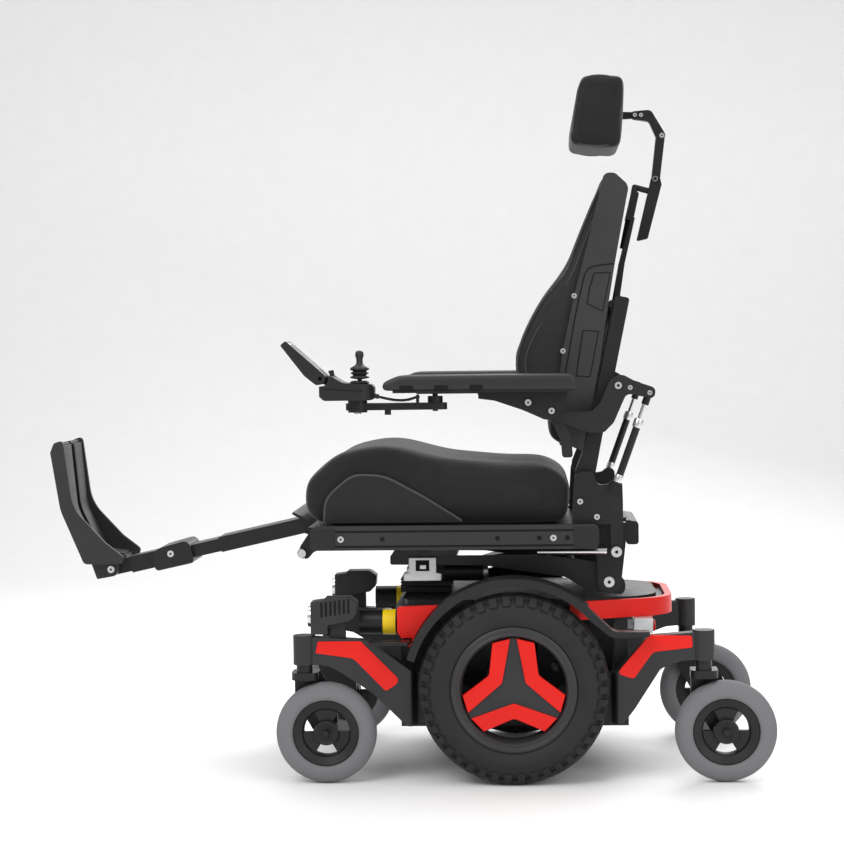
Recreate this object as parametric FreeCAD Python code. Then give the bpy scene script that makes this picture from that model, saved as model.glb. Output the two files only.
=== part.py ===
import FreeCAD, Part
import math
import os
from FreeCAD import Vector

# Power wheelchair: a mid-wheel drive base with four casters on sprung arms, and on it a lifting,
# tilting and reclining seat. Millimetres. X points to the rear of the chair, Y to the user's right
# and Z up. Lengths below are measured from the drive axle (X) and the floor (Z). The finished
# parts are moved along X by AXLE_X, so the origin is the middle of the footprint on the floor.

# ---- driving dimensions: base ----
DRIVE_R = 178.0            # drive tyre radius (14 inch)
DRIVE_IN = 233.0           # inner face of the drive tyre, from the middle plane
DRIVE_OUT = 305.0          # outer face of the drive tyre
RIM_R = 116.0              # rim ring that the tyre sits on
CASTER_R = 94.3            # caster wheel radius
CASTER_Y = 250.0           # caster mid plane
CASTER_HALF = 24.0         # half width of a caster wheel
TRAIL = 40.0               # wheel axle behind the swivel axis
FRONT_SWIVEL_X = -392.0
REAR_SWIVEL_X = 352.0
ARM_PIVOT_X = 105.0        # suspension pivots in front of and behind the drive axle
ARM_PIVOT_Z = 150.0
DECK_Z = 334.0             # top of the base cover
FLOOR_PLATE_Z = 94.0       # underside of the chassis

# ---- driving dimensions: seat ----
TILT_X, TILT_Z = 181.0, 364.0          # seat tilt pivot
SEAT_HALF = 235.0                      # middle of the seat rails
RAIL_FRONT, RAIL_REAR = -379.0, 161.0
RAIL_BOTTOM, RAIL_TOP = 434.0, 479.0
CUSHION_HALF = 205.0
RECLINE_X, RECLINE_Z = 135.0, 561.0    # back recline pivot
ARM_X, ARM_Z = 199.0, 737.0            # arm carrier pivot on the back
STRUT_DX, STRUT_DZ = 58.0, -14.0       # strut pivots sit this far from the two pivots above
FLIP_X, FLIP_Z = 75.0, 692.0           # armrest flip-up pivot
PAD_Y = 285.0                          # middle of the arm pads
PAD_HALF = 33.0
BACK_HALF = 200.0                      # outer face of the back shell
HOOK_FOOT = Vector(219.1, 0, 1000)     # hooked headrest rod, which slides along this line
HOOK_TOP = Vector(244.3, 0, 1120)

# ---- driving dimensions: legrest ----
LEG_X, LEG_Z = -400.0, 468.0           # legrest pivot
LEG_DROP = 12.4                        # degrees below level when it is raised
FOOT_U = 407.0                         # foot hinge, measured along the leg from its pivot
TOE_X = -901.0                         # front of the raised footplates

GAP = 0.5                              # running clearance
HINGE_R = 8.0                          # common hinge pin
REAR_X = REAR_SWIVEL_X + TRAIL + CASTER_R
AXLE_X = -(TOE_X + REAR_X) / 2.0       # from the drive axle to the middle of the footprint


# ---- geometry helpers ----
def corner(before, at, after, radius):
    """Start, middle and end of the arc that rounds one corner; it keeps within the sides beside it."""
    shorter = min((before - at).Length, (after - at).Length)
    u = (before - at).normalize()
    v = (after - at).normalize()
    half = u.getAngle(v) / 2.0
    reach = min(radius / math.tan(half), 0.48 * shorter)
    radius = reach * math.tan(half)
    inward = (u + v).normalize()
    centre = at + inward * (radius / math.sin(half))
    return at + u * reach, centre - inward * radius, at + v * reach


def outline(points, closed=True):
    """Wire through points of (a, b) or (a, b, radius of the rounded corner), in the XZ plane."""
    flat = [Vector(p[0], 0, p[1]) for p in points]
    radii = [p[2] if len(p) > 2 else 0.0 for p in points]
    edges = []
    ends = []
    for i, at in enumerate(flat):
        if radii[i] > 0:
            ends.append(corner(flat[i - 1], at, flat[(i + 1) % len(flat)], radii[i]))
        else:
            ends.append((at, at, at))
    for i, (start, middle, end) in enumerate(ends):
        if radii[i] > 0:
            edges.append(Part.Arc(start, middle, end).toShape())
        following = ends[(i + 1) % len(ends)][0]
        if (closed or i + 1 < len(ends)) and (following - end).Length > 1e-6:
            edges.append(Part.LineSegment(end, following).toShape())
    return Part.Wire(edges)


def slab_y(points, y0, y1):
    """Side outline (x, z) thickened from y0 to y1."""
    face = Part.Face(outline(points))
    face.translate(Vector(0, min(y0, y1), 0))
    return face.extrude(Vector(0, abs(y1 - y0), 0))


def slab_z(points, z0, z1):
    """Plan outline (x, y) thickened from z0 to z1."""
    face = Part.Face(outline(points))
    face.rotate(Vector(0, 0, 0), Vector(1, 0, 0), -90)
    face.translate(Vector(0, 0, z0))
    return face.extrude(Vector(0, 0, z1 - z0))


def box(x0, x1, y0, y1, z0, z1):
    return Part.makeBox(x1 - x0, abs(y1 - y0), z1 - z0, Vector(x0, min(y0, y1), z0))


def rod_y(x, z, radius, y0, y1):
    return Part.makeCylinder(radius, abs(y1 - y0), Vector(x, min(y0, y1), z), Vector(0, 1, 0))


def rod_z(x, y, radius, z0, z1):
    return Part.makeCylinder(radius, z1 - z0, Vector(x, y, z0), Vector(0, 0, 1))


def rod_x(y, z, radius, x0, x1):
    return Part.makeCylinder(radius, x1 - x0, Vector(x0, y, z), Vector(1, 0, 0))


def rod(start, end, radius):
    return Part.makeCylinder(radius, (end - start).Length, start, end - start)


def turned(profile, x, z):
    """Solid of revolution about the line through (x, z) along Y; profile is (radius, y)."""
    face = Part.Face(Part.makePolygon([Vector(x, y, z + r) for r, y in profile + profile[:1]]))
    return face.revolve(Vector(x, 0, z), Vector(0, 1, 0), 360)


def mirrored(shape):
    return shape.mirror(Vector(0, 0, 0), Vector(0, 1, 0))


def both(shape):
    """The shape and its twin across the middle plane."""
    return [shape, mirrored(shape)]


def joined(*shapes):
    """One solid from touching pieces."""
    first = shapes[0]
    return first.fuse(list(shapes[1:])).removeSplitter()


def less(shape, *cutters):
    return shape.cut(Part.Compound(list(cutters)))


def swung(shape, x, z, degrees):
    """The shape turned about the line through (x, z) along +Y."""
    turned_shape = shape.copy()
    turned_shape.rotate(Vector(x, 0, z), Vector(0, 1, 0), degrees)
    return turned_shape


def tube_path(points, radius):
    """Round tube along straight runs joined by tangent arcs; prints the arc radii."""
    runs = [(b - a).Length for a, b in zip(points, points[1:])]
    edges = []
    last = points[0]
    for i in range(1, len(points) - 1):
        before = points[i - 1] - points[i]
        after = points[i + 1] - points[i]
        turn = math.pi - before.getAngle(after)
        bend = 0.45 * min(runs[i - 1], runs[i]) / math.tan(turn / 2.0)
        start, middle, end = corner(points[i - 1], points[i], points[i + 1], bend)
        edges.append(Part.LineSegment(last, start).toShape())
        edges.append(Part.Arc(start, middle, end).toShape())
        last = end
        print("cable bend %.1f mm" % bend)
    edges.append(Part.LineSegment(last, points[-1]).toShape())
    path = Part.Wire(edges)
    ring = Part.Wire(Part.makeCircle(radius, points[0], points[1] - points[0]))
    tube = path.makePipeShell([ring], True, False)
    return tube, path.Length


# ---- drive base ----
def chassis_frame():
    rails = both(box(-215, 215, 150, 190, 98, 120))
    floor = box(-215, 215, -190, 190, FLOOR_PLATE_Z, 98)
    cross = both(box(-215, -195, 43, 150, 98, 120)) + [box(198, 215, -150, 150, 98, 120)]
    posts = both(box(-215, -190, 150, 175, 120, 296)) + both(box(190, 215, 150, 175, 120, 296))
    solids = joined(floor, *rails, *cross, *posts)
    pivots = []
    for x in (-ARM_PIVOT_X, ARM_PIVOT_X):
        plate = slab_y([(x - 28, 119), (x + 28, 119), (x + 20, 172, 18), (x - 20, 172, 18)], 176, 190)
        pin = rod_y(x, ARM_PIVOT_Z, HINGE_R, 176, 224)
        pivots += both(joined(plate, pin))
    return joined(solids, *pivots, *tie_downs())


def tie_downs():
    """Black stub with a flat oval strap loop beside it, one on each side at the front."""
    stub = rod_x(205, 295, 23, -290, -222)
    bracket = box(-225, -190, 160, 210, 272, 295)
    bar = box(-206, -192, 200, 292, 262, 268)
    stem = box(-206, -192, 200, 208, 262, 290)
    loop = slab_z([(-268, 264, 18), (-192, 264, 10), (-192, 300, 10), (-268, 300, 18)], 262, 268)
    hole = slab_z([(-260, 271, 11), (-208, 271, 6), (-208, 293, 6), (-260, 293, 11)], 261, 269)
    return both(joined(stub, bracket, bar, stem, less(loop, hole)))


def battery_pack():
    return [box(-108, 36, -124, 124, 98.5, 285), box(44, 188, -124, 124, 98.5, 285)]


def drive_motors():
    gearbox = rod_y(0, DRIVE_R, 55, 140, 222)
    hub = rod_y(0, DRIVE_R, 30, 222, 231)
    axle = rod_y(0, DRIVE_R, 12, 231, 262)
    foot = box(-30, 30, 150, 190, 121, 135)
    return both(joined(gearbox, hub, axle, foot))


def deck_plan(inset):
    half = 222 - inset
    tip = 304 - inset
    return [(-238 + inset, -half + 30, 12), (-200, -half, 60), (110, -half, 200), (tip, -130, 90),
            (tip, 130, 90), (110, half, 200), (-200, half, 60), (-238 + inset, half - 30, 12)]


def base_cover():
    lower = slab_z(deck_plan(14), 297, 322)
    upper = slab_z(deck_plan(30), 322, DECK_Z)
    column_hole = box(-218, -128, -50, 50, 290, 340)
    stub_room = both(rod_x(205, 295, 24, -300, -180))
    return less(joined(lower, upper), column_hole, *stub_room)


def body_panels():
    """Red band round the rear of the deck, and a red panel in front of each fender."""
    outer = slab_z(deck_plan(0), 297, 331)
    inner = slab_z(deck_plan(13.5), 290, 340)
    rear = box(105, 330, -300, 300, 290, 340)
    band = less(outer, inner).common(rear)
    side = [(-217, 281), (-217, 328, 6), (-118, 331, 20), (-76, 366, 3), (-122, 300), (-196, 251, 6)]
    wheel_room = rod_y(0, DRIVE_R, 207.5, 200, 320)
    panel = less(slab_y(side, 236, 250), wheel_room)
    web = less(box(-216, -150, 224, 236, 300, 322), wheel_room)
    strap_room = box(-208, -190, 200, 300, 260, 270)
    return [band] + both(less(joined(panel, web), strap_room))


def fenders():
    """Arc over each drive wheel that runs out into a flat tail at the rear."""
    ring = rod_y(0, DRIVE_R, 206, 224, 300)
    hollow = rod_y(0, DRIVE_R, 191, 220, 310)
    span = slab_y([(0, 178), (-198, 236), (-230, 420), (150, 420), (138, 312)], 200, 320)
    arc = less(ring, hollow).common(span)
    tail = slab_y([(122, 322), (134, 333), (186, 285, 24), (252, 285, 6), (250, 276, 4),
                   (182, 273, 30)], 266, 300)
    cut = rod_y(0, DRIVE_R, 190.9, 220, 310)
    return both(joined(arc, less(tail, cut)))


def rear_lamps():
    """Faceted clear lamp with a small red lens under each rear corner of the deck."""
    lens = slab_y([(226, 268), (228, 296.5), (262, 296.5), (262, 268)], 100, 190)
    mount = box(190.5, 226, 120, 149, 272, 290)
    return both(joined(lens, mount))


def lift_column():
    """Rectangular outer tube of the seat lift with a flange at deck level."""
    tube = box(-212, -132, -42, 42, 98.5, 352)
    flange = box(-222, -122, -54, 54, DECK_Z, 344)
    bore = box(-207, -137, -37, 37, 100, 360)
    return less(joined(tube, flange), bore)


def lift_stage():
    """Middle tube of the telescoping seat lift."""
    return less(box(-206, -138, -36, 36, 104, 356), box(-202, -142, -32, 32, 103, 357))


def lift_carriage():
    """Top of the lift: inner tube, cast head, cross plate, tilt beams and actuator motor."""
    inner = less(box(-201, -143, -31, 31, 110, 367), box(-197, -147, -27, 27, 109, 360))
    flange = box(-210, -136, -46, 46, 367, 380)
    casting = slab_z([(-200, -40, 12), (-146, -40, 12), (-146, 40, 12), (-200, 40, 12)], 380, 406)
    plate = box(-235, -110, -156, 156, 406, 414)
    motor = rod_x(-80, 377, 18.5, -135, -50)
    motor_arm = box(-150, -135, -95, -46, 365, 414)
    side = [(-235, 398, 4), (-235, 414, 4), (60, 414), (165, 399, 12), (214, 366, 22),
            (210, 338, 10), (140, 345, 8), (100, 372, 30), (-60, 396, 40)]
    beam = slab_y(side, 142, 156)
    pin = rod_y(TILT_X, TILT_Z, 11, 142, 174)
    beams = both(joined(beam, pin))
    cross = rod_y(110, 388, 10, -142, 142)
    return joined(inner, flange, casting, plate, motor, motor_arm, cross, *beams)


# ---- suspension arms and casters ----
def caster_arm(swivel_x, barrel_low, barrel_high, side):
    """Bent arm from the pivot near the axle to the upright barrel of a caster."""
    toward = -1 if swivel_x < 0 else 1
    profile = slab_y([(toward * x, z, *r) for x, z, *r in side], 190, 262)
    reach = abs(swivel_x) - 12
    plan = [(72, 192, 8), (150, 192, 60), (185, 205, 40), (225, 228, 40), (reach, 236), (reach, 262),
            (190, 262, 6), (183, 228, 4), (72, 228, 8)]
    plan_solid = slab_z([(toward * x, y, *r) for x, y, *r in plan], 60, 330)
    barrel = rod_z(swivel_x, CASTER_Y, 20.5, barrel_low, barrel_high)
    arm = joined(profile.common(plan_solid), barrel)
    eye = rod_y(toward * ARM_PIVOT_X, ARM_PIVOT_Z, HINGE_R + GAP, 180, 240)
    stem = rod_z(swivel_x, CASTER_Y, 9.5, barrel_low - 1, barrel_high - 12)
    return less(arm, eye, stem)


FRONT_SIDE = [(76, 128, 20), (76, 172, 20), (150, 190, 30), (187, 206, 30), (271, 267, 20), (400, 276),
              (400, 222), (362, 222, 10), (341, 218, 10), (322, 207, 20), (263, 168, 20),
              (200, 106, 12), (180, 106, 12)]
REAR_SIDE = [(76, 128, 20), (76, 172, 20), (150, 190, 30), (190, 203, 30), (250, 272, 20), (356, 281),
             (356, 230), (310, 226, 20), (272, 212, 20), (224, 138, 14), (200, 107, 12), (180, 107, 12)]


def headlight(side):
    """Lamp housing on a short post on the front arm; side is -1 for the left."""
    body = slab_y([(-386, 272, 6), (-386, 340, 8), (-300, 336, 6), (-300, 300, 6),
                   (-345, 272, 8)], 222, 268)
    post = rod_z(-339, 245, 9, 260, 300)
    arm = caster_arm(FRONT_SWIVEL_X, 222, 277, FRONT_SIDE)
    lamp = less(joined(body, post), arm)
    return lamp if side > 0 else mirrored(lamp)


def caster_fork(swivel_x, crown_top, barrel_low):
    """One-sided fork: swivel stem, crown over the wheel and a leg on its inner side."""
    wheel_x = swivel_x + TRAIL
    stem = rod_z(swivel_x, CASTER_Y, 9, crown_top - 2, barrel_low + 38)
    collar = rod_z(swivel_x, CASTER_Y, 15, crown_top - 2, barrel_low - GAP)
    crown = slab_z([(swivel_x - 24, 210, 8), (swivel_x - 24, 268, 18), (swivel_x + 26, 268, 18),
                    (swivel_x + 26, 210, 8)], 193, crown_top)
    leg = slab_y([(swivel_x - 22, crown_top), (swivel_x + 26, crown_top), (wheel_x + 18, 150, 30),
                  (wheel_x + 18, 76, 17), (wheel_x - 18, 76, 17), (swivel_x - 22, 150, 40)], 210, 221)
    axle = rod_y(wheel_x, CASTER_R, 6, 215, 276)
    return joined(stem, collar, crown, leg, axle)


def caster_wheel(swivel_x):
    x = swivel_x + TRAIL
    low = CASTER_Y - CASTER_HALF
    high = CASTER_Y + CASTER_HALF
    tyre = [(60, low + 5), (84, low + 2), (92, low + 9), (CASTER_R, CASTER_Y), (92, high - 9),
            (84, high - 2), (60, high - 5), (44, high - 8), (24, high - 8), (22, high - 1), (6.6, high - 1),
            (6.6, low + 1), (22, low + 1), (24, low + 18), (44, low + 18)]
    return turned(tyre, x, CASTER_R)


def drive_tyre():
    profile = [(RIM_R, DRIVE_IN + 8), (150, DRIVE_IN), (166, DRIVE_IN + 3), (175, DRIVE_IN + 14),
               (DRIVE_R, DRIVE_IN + 30), (DRIVE_R, DRIVE_OUT - 30), (175, DRIVE_OUT - 14),
               (166, DRIVE_OUT - 3), (150, DRIVE_OUT), (RIM_R, DRIVE_OUT - 8)]
    return turned(profile, 0, DRIVE_R)


def drive_rim():
    """Rim ring with a hub and a three-armed spoke that carries the red inserts."""
    inner, outer = DRIVE_IN + 9, DRIVE_OUT - 9
    ring = turned([(98.5, inner), (98.5, outer), (RIM_R, outer), (RIM_R, inner)], 0, DRIVE_R)
    dish_face = outer - 12
    arm = slab_y([(-44, 184), (-26, 286), (26, 286), (44, 184)], dish_face - 12, dish_face)
    arms = [swung(arm, 0, DRIVE_R, 120 * i) for i in range(3)]
    hub = rod_y(0, DRIVE_R, 52, dish_face - 22, dish_face)
    bore = rod_y(0, DRIVE_R, 12 + GAP, 200, 264)
    disc = rod_y(0, DRIVE_R, 108, dish_face - 12, dish_face)
    spokes = joined(joined(*arms).common(disc), hub)
    hub_tube = rod_y(0, DRIVE_R, 26, DRIVE_IN + 1, dish_face - 22)
    return less(joined(ring, spokes, hub_tube), bore)


# ---- seat frame ----
def seat_rails():
    """Side rails with two accessory slots and a row of cross holes."""
    side = [(RAIL_FRONT, RAIL_BOTTOM, 12), (RAIL_FRONT, RAIL_TOP, 12), (RAIL_REAR, RAIL_TOP, 12),
            (RAIL_REAR, RAIL_BOTTOM, 12)]
    rail = slab_y(side, SEAT_HALF - 11, SEAT_HALF + 11)
    slots = [box(-331, 113, SEAT_HALF + 7, SEAT_HALF + 12, z - 2, z + 2) for z in (469, 441)]
    holes = [rod_y(x, 455, 4, SEAT_HALF - 12, SEAT_HALF + 12) for x in (-243, -28, 50, 102)]
    return both(less(rail, *slots, *holes))


def seat_pan():
    """Seat plate with a curved front lip, cross tubes, tilt lugs and legrest lugs."""
    plate = box(-384, 160, -224, 224, 470, 476)
    lip = slab_y([(-384, 470), (-384, 476), (-403, 491, 20), (-421, 500), (-423, 496),
                  (-406, 486, 20)], -150, 150)
    lip = less(lip, rod_y(LEG_X, LEG_Z, 16, -47, 47))
    tubes = [box(x - 12, x + 12, -223.5, 223.5, 446, 470) for x in (-340, -150, 40, 140)]
    lug = slab_y([(TILT_X - 21, TILT_Z - 20, 20), (TILT_X - 24, 446), (128, 470), (214, 470, 3), (214, 446),
                  (TILT_X + 21, TILT_Z - 20, 20)], 158, 172)
    lug = less(lug, rod_y(TILT_X, TILT_Z, 11 + GAP, 150, 180))
    knuckle = slab_y([(-352, 446), (-352, 470), (LEG_X + 16, 470), (LEG_X - 14, 484, 10),
                      (LEG_X - 14, 452, 14),
                      (LEG_X + 14, 446, 6)], 49, 61)
    pin = rod_y(LEG_X, LEG_Z, HINGE_R, -61, 61)
    shelf = box(160, 214, -172, 172, 470, 476)
    plate = less(plate, rod_y(LEG_X, LEG_Z, 16, -47, 47))
    return joined(plate, lip, shelf, *tubes, *both(lug), *both(knuckle), pin)


def seat_cushion():
    """Contoured cushion: a raised front, a shallow seat and an upright rear face."""
    side = [(-370, 479, 12), (-396, 505, 30), (-392, 560, 60), (-330, 618, 80), (-245, 636, 110),
            (-130, 603, 200), (-25, 596, 200), (70, 602, 40), (109, 575, 24), (105, 479, 8)]
    return slab_y(side, -CUSHION_HALF, CUSHION_HALF)


def cushion_bolsters():
    """Half-moon side inserts of the cushion."""
    side = [(-355, 482), (-352, 530, 50), (-300, 574, 50), (-240, 571, 90), (-165, 530, 60),
            (-96, 486, 6), (-98, 482)]
    return both(slab_y(side, CUSHION_HALF + GAP, CUSHION_HALF + 10))


def cane_bases():
    """Side plates that carry the back pivot and the foot of each arm strut."""
    side = [(112, 476.5), (112, 500, 20), (117, 575, 16), (152, 577, 14), (160, 549, 14), (180, 552, 4),
            (190, 560, 8), (206, 556, 8), (207, 520, 12), (207, 414, 10), (184, 414, 10), (183, 476.5)]
    plate = slab_y(side, 196, 211)
    bolt = rod_y(194, 425, 12, 211, 216)
    strut_pin = rod_y(RECLINE_X + STRUT_DX, RECLINE_Z + STRUT_DZ, 4.5, 205, 229)
    pivot = rod_y(RECLINE_X, RECLINE_Z, HINGE_R, 170, 205)
    foot = box(114, 159, 184, 196, 476.5, 486)
    return both(joined(plate, bolt, strut_pin, pivot, foot))


def power_module():
    """Electronics box behind the seat with a recessed window at the rear."""
    case = slab_y([(166, 476.5), (186, 476.5), (232, 476.5, 10), (236, 430, 8), (220, 430, 4),
                   (215, 469.5), (166, 469.5)],
                  -120, 120)
    body = slab_y([(216, 430, 6), (216, 476.5, 6), (240, 474, 8), (240, 430, 6)], -120, 120)
    window = box(232, 250, -70, 70, 440, 464)
    ledge = box(150, 216.1, -120, 120, 476.5, 482)
    return less(joined(less(case, box(100, 215.9, -200, 200, 400, 476.4)), body, ledge), window)


# ---- back ----
def back_canes():
    """Two upright straps joined by cross tubes, with the arm pivots and the headrest clamp."""
    side = [(118, 548, 14), (118, 575, 20), (144, 640), (198, 905, 6), (224, 900, 6), (170, 640),
            (152, 548, 16)]
    strap = less(slab_y(side, 176, 194), rod_y(RECLINE_X, RECLINE_Z, HINGE_R + GAP, 150, 205.5))
    lug = slab_y([(158, 690), (176, 772), (205, 757, 12), (217, 737, 14), (205, 715, 12),
                  (168, 690)], 181, 194)
    pin = rod_y(ARM_X, ARM_Z, HINGE_R, 185, 249)
    sides = both(joined(strap, lug, pin))
    bars = [box(x - 10, x + 10, -178, 178, z - 12, z + 12) for x, z in ((160, 668), (198, 872))]
    plate = slab_y([(152, 668), (196, 888), (204, 916), (214, 905), (214, 880), (168, 668)], -60, 60)
    arm = slab_y([(196, 890), (211, 970, 60), (235, 1060), (243, 1060), (222, 970, 60),
                  (210, 890)], -20, 20)
    clamp = slab_y([(224, 1056), (237, 1110), (252, 1110, 4), (240, 1056, 4)], -20, 20)
    along = (HOOK_TOP - HOOK_FOOT).normalize()
    guide = rod(HOOK_FOOT - along * 20, HOOK_TOP + along * 20, 6 + GAP)
    return less(joined(*sides, *bars, plate, arm, clamp), guide)


SHELL_BACK = [(133, 614), (166, 777), (181, 872), (196, 962), (213, 1053), (224, 1110, 18), (198, 1134, 14)]


def back_shell():
    """Moulded shell: a rear panel with side flanges that reach forward."""
    front = [(178, 1134, 14), (150, 1020, 60), (120, 905), (97, 800, 80), (84, 700, 30),
             (86, 662, 20), (112, 622, 20)]
    whole = slab_y(SHELL_BACK + front, -BACK_HALF, BACK_HALF)
    inside = [(118, 590), (154, 777), (169, 872), (184, 962), (200, 1053), (208, 1100, 12),
              (192, 1150), (60, 1150),
              (40, 590)]
    room = slab_y(inside, -BACK_HALF + 10, BACK_HALF - 10)
    return less(whole, room)


def back_cushion():
    side = [(114, 612, 14), (150, 775), (165, 872), (180, 962), (196, 1053), (204, 1098, 10),
            (192, 1127, 12),
            (176, 1127, 14), (142, 1010, 90), (100, 860, 120), (84, 770, 90), (66, 640, 20)]
    return slab_y(side, -146, 146)


def lateral_pads():
    """Deep side wings of the back cushion."""
    side = [(112, 616, 10), (150, 775), (165, 872), (180, 962), (196, 1053), (204, 1098, 10),
            (192, 1130, 12),
            (176, 1131, 12), (129, 1017, 150), (106, 955, 90), (52, 890, 60), (8, 800, 40),
            (10, 745, 20), (62, 690, 30)]
    return both(slab_y(side, 146.5, 189))


# ---- headrest ----
def headrest_post():
    """Hooked rod in the clamp, carrying the flat upright bar."""
    hook = rod(HOOK_FOOT, HOOK_TOP, 6)
    bridge = rod(HOOK_TOP, Vector(272, 0, 1112), 6)
    ball = Part.makeSphere(6, HOOK_TOP)
    bar = slab_y([(246, 1014, 3), (268, 1019, 3), (296, 1124), (292, 1142, 8), (277, 1142, 8)], -9, 9)
    pin = rod_y(283, 1135, 4, -17, 17)
    slot = box(268, 300, -5, 5, 1125, 1150)
    return joined(less(joined(hook, ball, bridge, bar), slot), pin)


def headrest_link():
    """Straight link between the two adjusting pivots of the headrest."""
    side = [(276, 1130, 9), (287, 1226, 9), (304, 1227, 9), (292, 1130, 9)]
    cheek = slab_y(side, 10, 15)
    cheeks = both(less(cheek, rod_y(283, 1135, 4 + GAP, -20, 20)))
    spacer = slab_y([(283, 1165), (286, 1195), (298, 1195), (294, 1165)], -15, 15)
    pin = rod_y(297, 1219, 4, -15, 15)
    return joined(*cheeks, spacer, pin)


def headrest_arm():
    """Cranked arm from the upper pivot to the bracket of the pad."""
    side = [(306, 1219, 9), (297, 1209, 8), (287, 1213, 8), (272, 1247, 8), (238, 1253, 6), (238, 1267, 6),
            (276, 1270, 12)]
    arm = less(slab_y(side, -9, 9), rod_y(297, 1219, 4 + GAP, -20, 20))
    slot = box(225, 252, -4.5, 4.5, 1245, 1275)
    pin = rod_y(245, 1260, 3.5, -13, 13)
    return joined(less(arm, slot), pin)


def headrest_pad():
    """Curved head cushion with a hinge tab at the back."""
    pad = slab_y([(139, 1329, 14), (222, 1326, 14), (213, 1188, 14), (113, 1196, 14)], -115, 115)
    tab = less(slab_y([(215, 1252), (216, 1268), (251, 1266, 5),
                       (251, 1254, 5)], -4, 4), rod_y(245, 1260, 3.5 + GAP, -9, 9))
    return joined(pad, tab)


# ---- arms ----
def arm_carrier():
    """Bent arm that stays level while the back reclines, with the armrest pivot and a gusset."""
    side = [(62, 680, 12), (62, 702, 12), (90, 706), (100, 688, 4), (150, 690, 8), (166, 706, 20),
            (184, 748, 16),
            (206, 758, 14), (232, 744, 10), (268, 732, 10), (266, 711, 10), (234, 718, 10), (214, 722, 12),
            (190, 668, 22), (172, 650, 12), (146, 650, 8), (96, 668, 6)]
    arm = slab_y(side, 231, 247)
    gusset = slab_y([(70, 684), (92, 684), (112, 640, 30), (114, 604, 6), (94, 604, 6),
                     (92, 634, 30)], 232, 242)
    flip_pin = rod_y(FLIP_X, FLIP_Z, HINGE_R, 240, 268)
    strut_pin = rod_y(ARM_X + STRUT_DX, ARM_Z + STRUT_DZ, 4.5, 213, 240)
    bore = rod_y(ARM_X, ARM_Z, HINGE_R + GAP, 220, 260)
    return less(joined(arm, gusset, flip_pin, strut_pin), bore)


def armrest():
    """Beam under the arm pad that flips up about the arm carrier."""
    side = [(62, 676, 8), (22, 694, 8), (-30, 712, 20), (-60, 716), (-60, 728.5), (104, 728.5),
            (104, 716, 6),
            (92, 694, 14), (84, 676, 8)]
    beam = less(slab_y(side, 249, 271), rod_y(FLIP_X, FLIP_Z, HINGE_R + GAP, 240, 280))
    bolt = rod_y(32, 708, 8, 271, 275)
    socket = box(-175, -60, 255, 271, 723, 728.5)
    return joined(beam, bolt, socket)


def arm_pad():
    """Rounded pad with three grip recesses along its lower outer edge."""
    front, rear = -235, 121
    plan = [(front, PAD_Y - PAD_HALF, 26), (rear, PAD_Y - PAD_HALF, 14), (rear, PAD_Y + PAD_HALF, 14),
            (front, PAD_Y + PAD_HALF, 26)]
    pad = slab_z(plan, 729, 762)
    top_edges = [e for e in pad.Edges if e.BoundBox.ZMin > 761]
    pad = pad.makeFillet(9, top_edges)
    recesses = [box(x, x + 24, PAD_Y + PAD_HALF - 6, PAD_Y + PAD_HALF + 2, 728, 737) for x in (-190,
                                                                                               -126, -62)]
    return less(pad, *recesses)


def arm_strut():
    """Adjusting strut between the seat and the arm carrier, with an eye at each end."""
    low = Vector(RECLINE_X + STRUT_DX, 220.5, RECLINE_Z + STRUT_DZ)
    high = Vector(ARM_X + STRUT_DX, 220.5, ARM_Z + STRUT_DZ)
    along = (high - low).normalize()
    length = (high - low).Length
    eyes = [rod_y(p.x, p.z, 9, 214, 227) for p in (low, high)]
    body = rod(low + along * 7, low + along * 120, 7)
    collar = rod(low + along * 120, low + along * 134, 8)
    screw = rod(low + along * 134, low + along * (length - 22), 4)
    clevis = rod(low + along * (length - 24), low + along * (length - 6), 7)
    bores = [rod_y(p.x, p.z, 4.5 + GAP, 200, 240) for p in (low, high)]
    return less(joined(*eyes, body, collar, screw, clevis), *bores)


# ---- joystick on the left arm ----
JOY_Y = -272.0             # middle of the joystick
SWING_X, SWING_Y = -140.0, -263.0      # upright pivot of the swing-away arm
STICK_X, STICK_Z = -279.0, 734.0       # centre about which the stick tilts
HINGE_X, HINGE_Z = -349.0, 757.0       # display hinge
CABLE_R = 2.5
CABLE_ROUTE = [Vector(-243, -284, 722), Vector(-222, -284, 716.5), Vector(-201, -283.5, 714.6),
               Vector(-184, -283, 716.6), Vector(-173, -283, 721)]


def left_armrest():
    """The left armrest also carries the swing-away pivot of the joystick."""
    strip = box(-156, -60, -276, -251, 726, 728.5)
    pin = rod_z(SWING_X, SWING_Y, 5, 694, 728)
    return joined(less(mirrored(armrest()), box(-176, -61, -290, -240, 700, 725.9), strip), strip, pin)


def joystick_arm():
    """Swing-away bar with a boss at each end, a peg below and a post for the cable."""
    bar = slab_z([(-306, -281, 14), (-118, -278, 14), (-118, -248, 14), (-306, -251, 14)], 697, 710)
    peg = rod_z(-228, -266, 6, 688, 697)
    boss = rod_z(-284, -266, 18, 693, 715.5)
    along = (CABLE_ROUTE[-1] - CABLE_ROUTE[-2]).normalize()
    gland = rod(CABLE_ROUTE[-1], CABLE_ROUTE[-1] + along * 5, 3.5)
    post = box(-174.5, -169, -285, -272, 705, 721)
    collar = rod_z(SWING_X, SWING_Y, 14, 710, 722)
    cable_room = rod(CABLE_ROUTE[-2], CABLE_ROUTE[-1], 4.5)
    arm = joined(bar, peg, boss, less(post, cable_room), gland, collar)
    return less(arm, rod_z(SWING_X, SWING_Y, 5 + GAP, 690, 730))


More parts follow.
